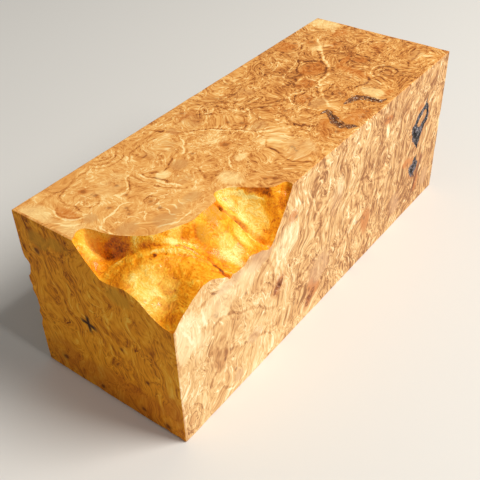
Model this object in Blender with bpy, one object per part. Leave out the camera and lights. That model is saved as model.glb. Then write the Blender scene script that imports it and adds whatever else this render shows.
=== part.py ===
"""Maple burl turning blank: a sawn block of burl wood with the burl's own lumpy skin left on one corner.

Frame: origin at the centre of the bottom face, +X along the length, +Z up.
The near end is at -X and the near side is at -Y. Sizes below are in millimetres.
On the natural skin, "along" is measured from the near end, "across" from the near side
and "depth" down from the sawn top.
"""

import bmesh
import bpy
import numpy as np
from mathutils import Vector

MM = 0.001

# The sawn block, which is three inches square and eight inches long
LENGTH = 203.0
WIDTH = 73.5
HEIGHT = 76.5

# The rim where the natural skin meets the sawn top: along, across, and how steeply the wall falls there
RIM = [
    (-4.0, 41.4, 1.2),
    (0.0, 43.0, 1.4),
    (4.0, 44.8, 1.8),
    (7.0, 44.2, 2.4),
    (8.4, 41.0, 4.5),
    (9.0, 37.0, 5.0),
    (10.6, 32.4, 5.0),
    (13.6, 27.4, 4.0),
    (17.8, 22.3, 3.2),
    (22.5, 19.8, 2.5),
    (28.4, 17.4, 1.9),
    (32.0, 16.3, 1.7),
    (38.0, 16.7, 1.2),
    (43.5, 16.6, 1.2),
    (45.8, 17.2, 1.6),
    (47.8, 19.9, 2.2),
    (50.3, 20.5, 2.0),
    (54.2, 18.2, 2.0),
    (57.6, 13.6, 2.8),
    (60.0, 9.8, 3.0),
    (63.3, 5.3, 2.6),
    (66.0, 4.1, 2.2),
    (69.6, 3.3, 2.2),
    (69.3, 0.0, 1.9),
    (69.5, -4.0, 1.9),
]
RIM_STEPS = 6
FAR_OUT = 60.0
RIM_ROUNDING = 1.6

# Spot depths of the skin: along, across, depth
END_EDGE = [
    (0.0, 0.0, 19.0),
    (0.0, 5.0, 18.6),
    (0.0, 10.0, 15.8),
    (0.0, 14.0, 12.9),
    (0.0, 18.0, 11.4),
    (0.0, 24.0, 11.2),
    (0.0, 30.0, 12.0),
    (0.0, 33.5, 11.3),
    (0.0, 37.0, 8.0),
    (0.0, 40.0, 3.4),
    (0.0, 43.0, 0.4),
]
SIDE_EDGE = [
    (4.0, 0.0, 15.7),
    (9.0, 0.0, 13.0),
    (16.0, 0.0, 10.6),
    (21.0, 0.0, 11.4),
    (25.0, 0.0, 13.0),
    (28.0, 0.0, 15.4),
    (31.0, 0.0, 16.9),
    (37.0, 0.0, 17.6),
    (40.0, 0.0, 17.0),
    (42.0, 0.0, 15.8),
    (46.5, 0.0, 16.9),
    (50.0, 0.0, 18.4),
    (54.0, 0.0, 20.2),
    (57.0, 0.0, 18.4),
    (61.0, 0.0, 12.9),
    (64.5, 0.0, 8.5),
    (67.5, 0.0, 4.3),
]
ARCHED_RIDGE = [
    (4.6, 30.0, 9.8),
    (9.6, 28.2, 7.4),
    (14.0, 24.6, 5.4),
    (18.0, 20.6, 4.4),
    (21.2, 17.4, 4.8),
    (23.5, 14.0, 6.2),
    (25.4, 10.8, 8.2),
    (27.6, 7.6, 10.8),
    (30.0, 4.2, 13.8),
]
FRONT_SLOPE = [(7.0, 8.0, 14.2), (12.0, 14.0, 9.6), (6.5, 20.0, 9.2), (15.0, 8.0, 9.8)]
POCKET = [(7.2, 37.0, 9.6), (9.0, 33.6, 9.4), (6.6, 41.0, 7.0), (11.6, 29.6, 8.0)]
SHOULDER = [(3.2, 38.0, 6.4), (3.4, 42.0, 2.2), (3.2, 34.0, 10.2)]
BASIN = [
    (29.6, 13.6, 6.8),
    (34.0, 13.0, 7.6),
    (31.6, 9.0, 11.6),
    (36.0, 8.0, 11.2),
    (40.5, 7.5, 10.4),
    (45.0, 3.5, 13.8),
    (45.8, 8.0, 10.8),
]
SHELF = [(38.0, 14.6, 2.4), (42.0, 15.0, 2.4), (40.2, 12.2, 4.2)]
SPLIT_LINE = [
    (45.3, 14.4, 4.8),
    (48.8, 11.4, 8.2),
    (50.2, 8.9, 11.2),
    (51.5, 6.4, 14.6),
    (53.4, 3.4, 17.6),
]
FAR_SLOPE = [(52.0, 15.0, 4.4), (55.0, 11.5, 5.8), (56.0, 7.0, 9.4), (60.0, 4.6, 7.2)]
LEDGE = [(54.2, 16.6, 2.0), (57.4, 12.6, 2.9), (59.0, 8.6, 3.9), (62.0, 4.2, 5.2), (66.4, 1.6, 4.6)]
SPOT_DEPTHS = (
    END_EDGE
    + SIDE_EDGE
    + ARCHED_RIDGE
    + FRONT_SLOPE
    + POCKET
    + SHOULDER
    + BASIN
    + SHELF
    + SPLIT_LINE
    + FAR_SLOPE
    + LEDGE
)

# The cutter that carries the skin's shape. Its lines run from the rim to just outside the sawn corner.
SKIN_LINES = 116
SKIN_ROWS = 28
ROW_CROWDING = 1.5
FIRST_ROW = 0.012
CORNER_LINE = 0.34
END_SPREAD = 1.3
SIDE_SPREAD = 0.8
RIM_OVERRUN = 0.8
OVERCUT = 3.0
SKY = 8.0

# Shallow natural hollows on the hidden far side: along, height, half length, half height, depth
FAR_HOLLOWS = [
    (2.0, 50.5, 9.0, 5.2, 3.0),
    (13.0, 31.0, 24.0, 14.0, 2.4),
    (31.0, 41.0, 15.0, 9.0, 2.8),
]
HOLLOW_GRID = 1.5
HOLLOW_REACH = (52.5, 12.0, 60.0)

# Bark seams: points on the face, each with the seam's half width. Top ones are along, across.
TOP_SEAMS = {
    "upper_top_seam": [
        (130.6, 15.2, 0.3),
        (134.5, 14.6, 0.9),
        (138.5, 13.4, 1.2),
        (140.6, 10.6, 1.0),
        (141.0, 7.0, 1.2),
        (141.4, 4.4, 0.9),
        (144.6, 2.4, 0.3),
    ],
    "lower_top_seam": [
        (119.2, 19.0, 0.3),
        (121.6, 17.4, 0.9),
        (119.6, 14.6, 1.1),
        (117.0, 11.6, 1.3),
        (115.2, 8.4, 1.4),
        (115.4, 5.4, 1.1),
        (117.2, 3.2, 0.7),
        (118.4, 1.0, 0.3),
    ],
}
# Side ones are along, height.
SIDE_SEAMS = {
    "upper_side_seam": [
        (184.6, 62.0, 0.3),
        (182.6, 57.0, 0.8),
        (177.4, 53.0, 1.0),
        (173.6, 48.4, 1.4),
        (174.6, 43.6, 2.2),
        (177.2, 39.4, 1.6),
        (179.0, 35.4, 0.3),
    ],
    "loop_side_seam": [
        (182.8, 58.4, 0.7),
        (185.4, 54.0, 1.0),
        (185.6, 49.6, 1.0),
        (182.6, 45.4, 1.2),
        (178.6, 42.0, 1.8),
    ],
    "lower_side_seam": [
        (179.6, 31.6, 0.3),
        (178.4, 28.0, 1.1),
        (175.8, 24.6, 1.6),
        (176.6, 21.4, 1.1),
        (180.4, 17.6, 0.5),
        (179.6, 10.8, 0.3),
    ],
    "near_spindle": [(57.6, 31.6, 0.3), (60.2, 33.2, 1.0), (62.8, 34.8, 0.3)],
    "middle_spindle": [(80.4, 8.2, 0.3), (83.4, 10.2, 0.9), (86.8, 12.2, 0.3)],
}
SEAM_SINK = 0.25

WOOD_COLOUR = (0.72, 0.44, 0.19, 1.0)
WOOD_ROUGHNESS = 0.55


def clear_scene():
    for obj in list(bpy.data.objects):
        bpy.data.objects.remove(obj, do_unlink=True)


def new_collection(name):
    collection = bpy.data.collections.new(name)
    bpy.context.scene.collection.children.link(collection)
    return collection


def move_to(obj, collection):
    for holder in list(obj.users_collection):
        holder.objects.unlink(obj)
    collection.objects.link(obj)


def thin_plate(distance):
    """The thin plate spline's kernel, r squared times log r, which is zero at r = 0."""
    safe = np.maximum(distance, 1e-9)
    return safe**2 * np.log(safe)


def skin_spline(spots):
    """Solves for the smooth sheet through every spot depth: kernel weights, then a plane's three numbers."""
    places = np.array([spot[:2] for spot in spots])
    depths = np.array([spot[2] for spot in spots])
    gaps = np.linalg.norm(places[:, None] - places[None], axis=2)
    plane = np.column_stack([np.ones(len(places)), places])
    system = np.block([[thin_plate(gaps), plane], [plane.T, np.zeros((3, 3))]])
    return places, np.linalg.solve(system, np.append(depths, np.zeros(3)))


def skin_floor(along, across, spline):
    """Depth of the smooth sheet at each place."""
    places, weights = spline
    gaps = np.hypot(along[:, None] - places[:, 0], across[:, None] - places[:, 1])
    sheet = thin_plate(gaps) @ weights[:-3]
    return sheet + weights[-3] + weights[-2] * along + weights[-1] * across


def rim_curve():
    """The rim as a smooth line: a Catmull-Rom curve through its points, as rows of along, across, steepness."""
    points = np.array(RIM)
    padded = np.vstack([2 * points[0] - points[1], points, 2 * points[-1] - points[-2]])
    share = np.linspace(0.0, 1.0, RIM_STEPS, endpoint=False)[:, None]
    stretches = []
    for before, start, end, after in zip(padded, padded[1:], padded[2:], padded[3:]):
        bend = 2 * before - 5 * start + 4 * end - after
        twist = 3 * (start - end) + after - before
        stretches.append(start + 0.5 * share * (end - before + share * (bend + share * twist)))
    return np.vstack([*stretches, points[-1]])


def rim_wall(along, across, rim):
    """Depth that the wall allows: distance inside the rim times the steepness of its nearest stretch."""
    first, last = rim[0], rim[-1]
    outside = [(last[0], -FAR_OUT, last[2]), (-FAR_OUT, -FAR_OUT, 1.0), (-FAR_OUT, first[1], first[2])]
    corners = np.vstack([rim, outside])
    ends = np.roll(corners, -1, axis=0)
    nearest = np.full(along.shape, np.inf)
    steepness = np.ones(along.shape)
    inside = np.zeros(along.shape, bool)
    for (x0, y0, s0), (x1, y1, s1) in zip(corners, ends):
        run = (x1 - x0, y1 - y0)
        share = ((along - x0) * run[0] + (across - y0) * run[1]) / (run[0] ** 2 + run[1] ** 2)
        share = np.clip(share, 0.0, 1.0)
        gap = np.hypot(along - x0 - share * run[0], across - y0 - share * run[1])
        closer = gap < nearest
        steepness = np.where(closer, s0 + share * (s1 - s0), steepness)
        nearest = np.minimum(nearest, gap)
        if y0 != y1:
            spans = (y0 > across) != (y1 > across)
            inside ^= spans & (along < x0 + (across - y0) * run[0] / run[1])
    return np.where(inside, nearest, -nearest) * steepness


def rim_places(share, rim):
    """Points at given shares of the rim's own length."""
    lengths = np.append(0.0, np.cumsum(np.linalg.norm(np.diff(rim[:, :2], axis=0), axis=1)))
    at = share * lengths[-1]
    return np.column_stack([np.interp(at, lengths, rim[:, 0]), np.interp(at, lengths, rim[:, 1])])


def outer_places(share, rim):
    """Points just outside the block: down its end to the near corner, then out along its near side."""
    on_end = np.clip(share / CORNER_LINE, 0.0, 1.0) ** END_SPREAD
    on_side = np.clip((share - CORNER_LINE) / (1.0 - CORNER_LINE), 0.0, 1.0) ** SIDE_SPREAD
    along = -OVERCUT + on_side * (rim[-1, 0] + OVERCUT)
    across = rim[0, 1] - on_end * (rim[0, 1] + OVERCUT)
    return np.column_stack([along, across])


def skin_places(line, row, rim):
    """Plan position of each grid point: a straight line from the rim to the outside, crowded near the rim."""
    inner, outer = rim_places(line, rim), outer_places(line, rim)
    down = np.clip((row * SKIN_ROWS - 1.0) / (SKIN_ROWS - 1.0), 0.0, 1.0)
    share = FIRST_ROW + (1.0 - FIRST_ROW) * down**ROW_CROWDING
    length = np.linalg.norm(outer - inner, axis=1)
    share = np.where(row * SKIN_ROWS < 0.5, -RIM_OVERRUN / np.maximum(length, RIM_OVERRUN), share)
    return (inner + (outer - inner) * share[:, None]).T


def skin_depth(along, across, rim, spline):
    """Depth of the natural skin below the sawn top: the lesser of sheet and wall, rounded where they meet."""
    near_block = (np.clip(along, 0.0, None), np.clip(across, 0.0, None))
    sheet = skin_floor(*near_block, spline)
    wall = rim_wall(along, across, rim)
    blend = np.clip(0.5 + 0.5 * (wall - sheet) / RIM_ROUNDING, 0.0, 1.0)
    lesser = wall + (sheet - wall) * blend - RIM_ROUNDING * blend * (1.0 - blend)
    return np.clip(lesser, -OVERCUT, None)


def grid_object(name, columns, rows, collection):
    """A flat grid of unit cells, whose points are moved by the caller."""
    bpy.ops.mesh.primitive_grid_add(x_subdivisions=columns, y_subdivisions=rows, size=1.0)
    grid = bpy.context.object
    grid.name = name
    move_to(grid, collection)
    return grid


def grid_places(grid, low, high):
    """Where each point of the unit grid falls on a rectangle, as two arrays in millimetres."""
    flat = np.empty(len(grid.data.vertices) * 3)
    grid.data.vertices.foreach_get("co", flat)
    unit = flat.reshape(-1, 3)[:, :2] + 0.5
    return low[0] + unit[:, 0] * (high[0] - low[0]), low[1] + unit[:, 1] * (high[1] - low[1])


def close_grid(grid, direction, level):
    """Pulls the whole grid out along one axis to a flat back at that level, which makes a closed cutter."""
    mesh = bmesh.new()
    mesh.from_mesh(grid.data)
    pulled = bmesh.ops.extrude_face_region(mesh, geom=list(mesh.faces), use_keep_orig=True)
    for item in pulled["geom"]:
        if isinstance(item, bmesh.types.BMVert):
            item.co[direction] = level
    bmesh.ops.recalc_face_normals(mesh, faces=list(mesh.faces))
    mesh.to_mesh(grid.data)
    mesh.free()


def skin_cutter(collection):
    """The air above the natural skin, which takes the corner out of the block."""
    rim = rim_curve()
    grid = grid_object("air_over_skin", SKIN_LINES, SKIN_ROWS, collection)
    line, row = grid_places(grid, (0.0, 0.0), (1.0, 1.0))
    along, across = skin_places(line, row, rim)
    depth = skin_depth(along, across, rim, skin_spline(SPOT_DEPTHS))
    points = np.column_stack([along - LENGTH / 2, across - WIDTH / 2, HEIGHT - depth]) * MM
    grid.data.vertices.foreach_set("co", points.ravel())
    close_grid(grid, 2, (HEIGHT + SKY) * MM)
    return grid


def hollow_depth(along, height):
    """Depth of the far side's hollows: the deepest of several bowls, each a paraboloid, crossed by small waves."""
    depth = np.full(along.shape, -2.0)
    for centre, middle, half_length, half_height, deep in FAR_HOLLOWS:
        bowl = 1.0 - ((along - centre) / half_length) ** 2 - ((height - middle) / half_height) ** 2
        depth = np.maximum(depth, deep * np.maximum(bowl, -1.0))
    waves = 0.35 * np.sin(along * 0.55 + 1.3) * np.sin(height * 0.62) + 0.2 * np.sin(height * 1.1 + along * 0.3)
    return depth + waves


def hollow_cutter(collection):
    """The air in the hollows of the hidden far side."""
    low = (-OVERCUT, HOLLOW_REACH[1])
    high = (HOLLOW_REACH[0], HOLLOW_REACH[2])
    columns = round((high[0] - low[0]) / HOLLOW_GRID)
    rows = round((high[1] - low[1]) / HOLLOW_GRID)
    grid = grid_object("air_in_hollows", columns, rows, collection)
    along, height = grid_places(grid, low, high)
    depth = hollow_depth(along, height)
    points = np.column_stack([along - LENGTH / 2, WIDTH / 2 - depth, height]) * MM
    grid.data.vertices.foreach_set("co", points.ravel())
    close_grid(grid, 1, (WIDTH / 2 + SKY) * MM)
    return grid


def seam_cutter(name, points, place, collection):
    """A seam is a tube of changing thickness that lies half sunk in its face."""
    curve = bpy.data.curves.new(name, "CURVE")
    curve.dimensions = "3D"
    curve.bevel_depth = MM
    curve.bevel_resolution = 1
    curve.use_fill_caps = True
    spline = curve.splines.new("POLY")
    spline.points.add(len(points) - 1)
    for target, point in zip(spline.points, points):
        target.co = (*place(point), 1.0)
        target.radius = point[2]
    tube = bpy.data.objects.new(name, curve)
    collection.objects.link(tube)
    return as_closed_mesh(tube, collection)


def as_closed_mesh(tube, collection):
    """Turns a curve into a mesh whose loose caps are welded on."""
    bpy.context.view_layer.update()
    graph = bpy.context.evaluated_depsgraph_get()
    data = bpy.data.meshes.new_from_object(tube.evaluated_get(graph))
    mesh = bmesh.new()
    mesh.from_mesh(data)
    bmesh.ops.remove_doubles(mesh, verts=list(mesh.verts), dist=0.00001)
    bmesh.ops.recalc_face_normals(mesh, faces=list(mesh.faces))
    mesh.to_mesh(data)
    mesh.free()
    name = tube.name
    placed = tube.matrix_world.copy()
    bpy.data.objects.remove(tube, do_unlink=True)
    closed = bpy.data.objects.new(name, data)
    closed.matrix_world = placed
    collection.objects.link(closed)
    return closed


def on_top(point):
    return Vector((point[0] - LENGTH / 2, point[1] - WIDTH / 2, HEIGHT - SEAM_SINK * point[2])) * MM


def on_near_side(point):
    return Vector((point[0] - LENGTH / 2, SEAM_SINK * point[2] - WIDTH / 2, point[1])) * MM


def wood_material():
    material = bpy.data.materials.new("maple_burl")
    material.use_nodes = True
    shader = material.node_tree.nodes["Principled BSDF"]
    shader.inputs["Base Color"].default_value = WOOD_COLOUR
    shader.inputs["Roughness"].default_value = WOOD_ROUGHNESS
    shader.inputs["Metallic"].default_value = 0.0
    return material


def sawn_block(collection):
    """The block as it leaves the saw, square and sharp."""
    bpy.ops.mesh.primitive_cube_add(size=1.0)
    block = bpy.context.object
    block.name = "burl_block"
    block.data.name = "burl_block"
    block.scale = (LENGTH * MM, WIDTH * MM, HEIGHT * MM)
    block.location = (0.0, 0.0, HEIGHT * MM / 2)
    bpy.ops.object.transform_apply(location=True, rotation=True, scale=True)
    block.data.materials.append(wood_material())
    move_to(block, collection)
    return block


def cut(block, cutter):
    cutter.hide_render = True
    cutter.display_type = "WIRE"
    boolean = block.modifiers.new(f"cut {cutter.name}", "BOOLEAN")
    boolean.operation = "DIFFERENCE"
    boolean.solver = "EXACT"
    boolean.object = cutter


def main():
    clear_scene()
    blank = new_collection("maple_burl_turning_blank")
    cutters = new_collection("cutters")
    block = sawn_block(blank)
    cut(block, skin_cutter(cutters))
    cut(block, hollow_cutter(cutters))
    for name, points in TOP_SEAMS.items():
        cut(block, seam_cutter(name, points, on_top, cutters))
    for name, points in SIDE_SEAMS.items():
        cut(block, seam_cutter(name, points, on_near_side, cutters))


main()
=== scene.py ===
# %% [markdown]
# # A maple burl turning blank
#
# The real object is one block, sawn from a burl that grew on a maple, and sold to be turned on a lathe.
# Four things give it its look: flat sawn faces with a swirling figure, the burl's own lumpy skin left on one
# corner, seams of dark bark caught in the wood, and sawn ends where the fibres fan out.
#
# It could be made as a box with a picture of wood on it, but then the figure would stop at each edge. Here
# the block is solid geometry with the corner really cut away, and the figure is worked out in space, so
# that it runs on from one face to the next as it does in wood.

import bpy
import numpy as np
from mathutils import Matrix, Vector


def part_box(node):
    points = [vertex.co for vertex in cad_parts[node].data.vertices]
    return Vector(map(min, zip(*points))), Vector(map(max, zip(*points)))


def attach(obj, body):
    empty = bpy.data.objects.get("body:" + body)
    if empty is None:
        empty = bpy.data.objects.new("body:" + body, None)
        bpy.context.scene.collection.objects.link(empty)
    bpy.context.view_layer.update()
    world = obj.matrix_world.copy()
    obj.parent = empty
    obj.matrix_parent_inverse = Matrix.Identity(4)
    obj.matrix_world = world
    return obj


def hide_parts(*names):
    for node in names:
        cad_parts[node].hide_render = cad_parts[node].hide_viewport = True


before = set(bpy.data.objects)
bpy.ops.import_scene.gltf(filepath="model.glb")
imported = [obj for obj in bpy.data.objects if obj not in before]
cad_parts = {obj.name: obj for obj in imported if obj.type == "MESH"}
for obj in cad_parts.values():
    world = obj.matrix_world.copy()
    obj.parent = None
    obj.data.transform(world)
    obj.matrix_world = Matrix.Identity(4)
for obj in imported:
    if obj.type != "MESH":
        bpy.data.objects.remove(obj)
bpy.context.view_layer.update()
MM = 0.001
block_low, block_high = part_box("burl_block")
LENGTH, WIDTH, HEIGHT = (round(side / MM, 3) for side in block_high - block_low)
print("block in mm:", LENGTH, WIDTH, HEIGHT)

# %% [markdown]
# ## Places on the block
#
# A maker measures a block from its corner, so this file does too, in millimetres: "along" from the near end,
# "across" from the near side, "depth" down from the sawn top. The helpers here turn such places into points,
# draw a smooth curve through a few marks, and measure how far every point lies from that curve. Where a
# curve is closed, a ray tells which points lie inside it.

# %% Places, curves and distances
def to_points(along, across, height):
    """Rows of x, y, z in millimetres: the frame's origin is the middle of the block's foot."""
    return np.column_stack([along - LENGTH / 2, across - WIDTH / 2, height])


def smooth_curve(marks, steps=8):
    """Catmull-Rom: each stretch is a cubic whose slope at a mark is half the step between its neighbours."""
    marks = np.array(marks, float)
    padded = np.vstack([2 * marks[0] - marks[1], marks, 2 * marks[-1] - marks[-2]])
    share = np.linspace(0.0, 1.0, steps, endpoint=False)[:, None]
    stretches = []
    for before, start, end, after in zip(padded, padded[1:], padded[2:], padded[3:]):
        bend = 2 * before - 5 * start + 4 * end - after
        twist = 3 * (start - end) + after - before
        stretches.append(start + 0.5 * share * (end - before + share * (bend + share * twist)))
    return np.vstack([*stretches, marks[-1]])


def curve_distance(first, second, curve):
    """Distance of each point from the curve, its side of it (+1 left, -1 right) and the share along it."""
    nearest = np.full(np.shape(first), np.inf)
    side = np.ones(np.shape(first))
    place = np.zeros(np.shape(first))
    for number, (start, end) in enumerate(zip(curve, curve[1:])):
        run = end[:2] - start[:2]
        reach = (first - start[0]) * run[0] + (second - start[1]) * run[1]
        share = np.clip(reach / max(run @ run, 1e-9), 0.0, 1.0)
        over = (first - start[0] - share * run[0], second - start[1] - share * run[1])
        gap = np.hypot(*over)
        closer = gap < nearest
        side = np.where(closer, np.sign(run[0] * over[1] - run[1] * over[0] + 1e-12), side)
        place = np.where(closer, (number + share) / (len(curve) - 1), place)
        nearest = np.minimum(nearest, gap)
    return nearest, side, place


def inside_ring(first, second, ring):
    """Even-odd rule: inside, a ray from the place crosses the closed ring an odd number of times."""
    inside = np.zeros(first.shape, bool)
    for start, end in zip(ring, ring[1:]):
        if start[1] != end[1]:
            spans = (start[1] > second) != (end[1] > second)
            crossing = start[0] + (second - start[1]) * (end[0] - start[0]) / (end[1] - start[1])
            inside ^= spans & (first < crossing)
    return inside


corner = to_points(np.array([0.0]), np.array([0.0]), np.array([HEIGHT]))
print("the corner that places are measured from, in mm:", corner[0])

# %% [markdown]
# ## Chance that stays the same
#
# Nothing in wood is quite straight or smooth, so most shapes below take a little noise. This is value noise:
# random numbers on the corners of a lattice, blended across each cell. The seed fixes the numbers, so the
# block comes out the same on every run.

# %% Value noise
HASH_PRIMES = np.array([73856093, 19349663, 83492791])
NOISE_TABLE = 8192


def lumps(places, size, seed):
    """Value noise from -1 to 1: lattice numbers blended by the S curve 3t^2 - 2t^3 along each axis."""
    at = np.asarray(places, float) / size
    cell = np.floor(at).astype(np.int64)
    share = at - cell
    share = share * share * (3 - 2 * share)
    numbers = np.random.default_rng(seed).uniform(-1, 1, NOISE_TABLE)
    total = np.zeros(len(at))
    for corner in np.ndindex(*(2,) * at.shape[1]):
        keys = np.bitwise_xor.reduce((cell + corner) * HASH_PRIMES[: at.shape[1]], axis=1) % NOISE_TABLE
        weight = np.where(corner, share, 1 - share).prod(axis=1)
        total += numbers[keys] * weight
    return total


sample = lumps(np.random.default_rng(1).uniform(0, 99, (4000, 2)), 5.0, 3)
print("noise runs from", round(sample.min(), 2), "to", round(sample.max(), 2))

# %% [markdown]
# ## The burl's own skin
#
# On one top corner the saw missed, and the burl's outside was left: smooth lobes, an arched ridge with growth
# lines along it, a split, a ledge and a dark pocket. A sculptor could push it into shape by hand. Here it is
# one height for each place seen from above: a thin sheet bent through measured depths, met by a steep wall
# that hangs from the rim. These are the same measured values that the block itself was built from.

# %% Measured marks of the skin
# The rim: along, across, and how steeply the wall falls there
RIM = [
    (-4.0, 41.4, 1.2),
    (0.0, 43.0, 1.4),
    (4.0, 44.8, 1.8),
    (7.0, 44.2, 2.4),
    (8.4, 41.0, 4.5),
    (9.0, 37.0, 5.0),
    (10.6, 32.4, 5.0),
    (13.6, 27.4, 4.0),
    (17.8, 22.3, 3.2),
    (22.5, 19.8, 2.5),
    (28.4, 17.4, 1.9),
    (32.0, 16.3, 1.7),
    (38.0, 16.7, 1.2),
    (43.5, 16.6, 1.2),
    (45.8, 17.2, 1.6),
    (47.8, 19.9, 2.2),
    (50.3, 20.5, 2.0),
    (54.2, 18.2, 2.0),
    (57.6, 13.6, 2.8),
    (60.0, 9.8, 3.0),
    (63.3, 5.3, 2.6),
    (66.0, 4.1, 2.2),
    (69.6, 3.3, 2.2),
    (69.3, 0.0, 1.9),
    (69.5, -4.0, 1.9),
]
# Spot depths: along, across, depth
END_EDGE = [
    (0.0, 0.0, 19.0),
    (0.0, 5.0, 18.6),
    (0.0, 10.0, 15.8),
    (0.0, 14.0, 12.9),
    (0.0, 18.0, 11.4),
    (0.0, 24.0, 11.2),
    (0.0, 30.0, 12.0),
    (0.0, 33.5, 11.3),
    (0.0, 37.0, 8.0),
    (0.0, 40.0, 3.4),
    (0.0, 43.0, 0.4),
]
SIDE_EDGE = [
    (4.0, 0.0, 15.7),
    (9.0, 0.0, 13.0),
    (16.0, 0.0, 10.6),
    (21.0, 0.0, 11.4),
    (25.0, 0.0, 13.0),
    (28.0, 0.0, 15.4),
    (31.0, 0.0, 16.9),
    (37.0, 0.0, 17.6),
    (40.0, 0.0, 17.0),
    (42.0, 0.0, 15.8),
    (46.5, 0.0, 16.9),
    (50.0, 0.0, 18.4),
    (54.0, 0.0, 20.2),
    (57.0, 0.0, 18.4),
    (61.0, 0.0, 12.9),
    (64.5, 0.0, 8.5),
    (67.5, 0.0, 4.3),
]
ARCHED_RIDGE = [
    (4.6, 30.0, 9.8),
    (9.6, 28.2, 7.4),
    (14.0, 24.6, 5.4),
    (18.0, 20.6, 4.4),
    (21.2, 17.4, 4.8),
    (23.5, 14.0, 6.2),
    (25.4, 10.8, 8.2),
    (27.6, 7.6, 10.8),
    (30.0, 4.2, 13.8),
]
FRONT_SLOPE = [(7.0, 8.0, 14.2), (12.0, 14.0, 9.6), (6.5, 20.0, 9.2), (15.0, 8.0, 9.8)]
POCKET = [(7.2, 37.0, 9.6), (9.0, 33.6, 9.4), (6.6, 41.0, 7.0), (11.6, 29.6, 8.0)]
SHOULDER = [(3.2, 38.0, 6.4), (3.4, 42.0, 2.2), (3.2, 34.0, 10.2)]
BASIN = [
    (29.6, 13.6, 6.8),
    (34.0, 13.0, 7.6),
    (31.6, 9.0, 11.6),
    (36.0, 8.0, 11.2),
    (40.5, 7.5, 10.4),
    (45.0, 3.5, 13.8),
    (45.8, 8.0, 10.8),
]
SHELF = [(38.0, 14.6, 2.4), (42.0, 15.0, 2.4), (40.2, 12.2, 4.2)]
SPLIT_LINE = [
    (45.3, 14.4, 4.8),
    (48.8, 11.4, 8.2),
    (50.2, 8.9, 11.2),
    (51.5, 6.4, 14.6),
    (53.4, 3.4, 17.6),
]
FAR_SLOPE = [(52.0, 15.0, 4.4), (55.0, 11.5, 5.8), (56.0, 7.0, 9.4), (60.0, 4.6, 7.2)]
LEDGE = [(54.2, 16.6, 2.0), (57.4, 12.6, 2.9), (59.0, 8.6, 3.9), (62.0, 4.2, 5.2), (66.4, 1.6, 4.6)]
SPOT_DEPTHS = (
    END_EDGE + SIDE_EDGE + ARCHED_RIDGE + FRONT_SLOPE + POCKET + SHOULDER
    + BASIN + SHELF + SPLIT_LINE + FAR_SLOPE + LEDGE
)
# Rounding where the sheet meets the wall, a place well outside the block, and how far cutters reach past it
RIM_ROUNDING = 1.6
FAR_OUT = 60.0
OVERCUT = 3.0
print("the skin has", len(SPOT_DEPTHS), "measured depths and", len(RIM), "marks along its rim")


# %% The sheet through the depths
def thin_plate(distance):
    """The thin plate spline's kernel: r squared times log r."""
    safe = np.maximum(distance, 1e-9)
    return safe**2 * np.log(safe)


def bend_sheet(spots):
    """Solves for a kernel weight for each spot, and a plane, so that the sheet meets every depth."""
    places, depths = np.array(spots)[:, :2], np.array(spots)[:, 2]
    gaps = np.linalg.norm(places[:, None] - places[None], axis=2)
    plane = np.column_stack([np.ones(len(places)), places])
    system = np.block([[thin_plate(gaps), plane], [plane.T, np.zeros((3, 3))]])
    return places, np.linalg.solve(system, np.append(depths, np.zeros(3)))


PLACES, WEIGHTS = bend_sheet(SPOT_DEPTHS)
RIM_CURVE = smooth_curve(RIM, 6)


def sheet_depth(along, across):
    """The sheet's depth: every kernel times its weight, plus the plane."""
    gaps = np.hypot(along[:, None] - PLACES[:, 0], across[:, None] - PLACES[:, 1])
    return thin_plate(gaps) @ WEIGHTS[:-3] + WEIGHTS[-3] + WEIGHTS[-2] * along + WEIGHTS[-1] * across


def rim_wall(along, across):
    """Distance inside the rim times the steepness of the nearest stretch; outside the rim it is negative."""
    first, last = RIM_CURVE[0], RIM_CURVE[-1]
    outside = [(last[0], -FAR_OUT, last[2]), (-FAR_OUT, -FAR_OUT, 1.0), (-FAR_OUT, first[1], first[2])]
    ring = np.vstack([RIM_CURVE, outside, RIM_CURVE[:1]])
    nearest, _, place = curve_distance(along, across, ring)
    steepness = np.interp(place, np.linspace(0, 1, len(ring)), ring[:, 2])
    return np.where(inside_ring(along, across, ring), nearest, -nearest) * steepness


print("the sheet is solved from", len(PLACES), "places")

# %% [markdown]
# ## Growth lines, the split and the lumps
#
# Close up, the skin is never plain. Fine pale growth lines follow the arched ridge, a split runs down from
# the shelf with its lips a little raised, and a lip of harder wood stands along the ledge. Each is a small
# rise or groove whose height depends on the distance from a curve, so it can be added to the same depth.

# %% Fine marks on the skin
RIDGE_TOP = smooth_curve([(0.6, 30.6), *[spot[:2] for spot in ARCHED_RIDGE], (31.0, 2.4)])
SPLIT = smooth_curve([(44.0, 17.2), *[spot[:2] for spot in SPLIT_LINE], (54.6, 1.0)])
LEDGE_LIP = smooth_curve([(52.6, 18.6), *[spot[:2] for spot in LEDGE]])
FOLD = smooth_curve([(24.6, 4.4), (27.2, 2.6), (29.6, 0.8), (31.4, -1.5)])
NICK = smooth_curve([(15.6, 19.4), (17.2, 18.4), (18.2, 17.0)])
POCKET_CRACK = smooth_curve([(7.4, 40.6), (8.4, 37.6), (9.4, 34.6), (11.0, 31.4)])
# Lines beside the ridge top: how far off (towards the near end), half width, rise
GROWTH_LINES = [(-0.9, 0.55, 0.34), (0.7, 0.5, 0.30), (2.3, 0.45, -0.16), (3.5, 0.5, 0.16), (5.2, 0.6, 0.10)]
# Curve, half width, sink, how far its lips stand off, and their rise
GROOVES = [
    (SPLIT, 0.55, 1.7, 1.3, 0.35),
    (FOLD, 0.6, 1.1, 1.5, 0.45),
    (NICK, 0.45, 0.7, 1.0, 0.15),
    (POCKET_CRACK, 0.8, 1.2, 2.0, 0.0),
]
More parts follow.
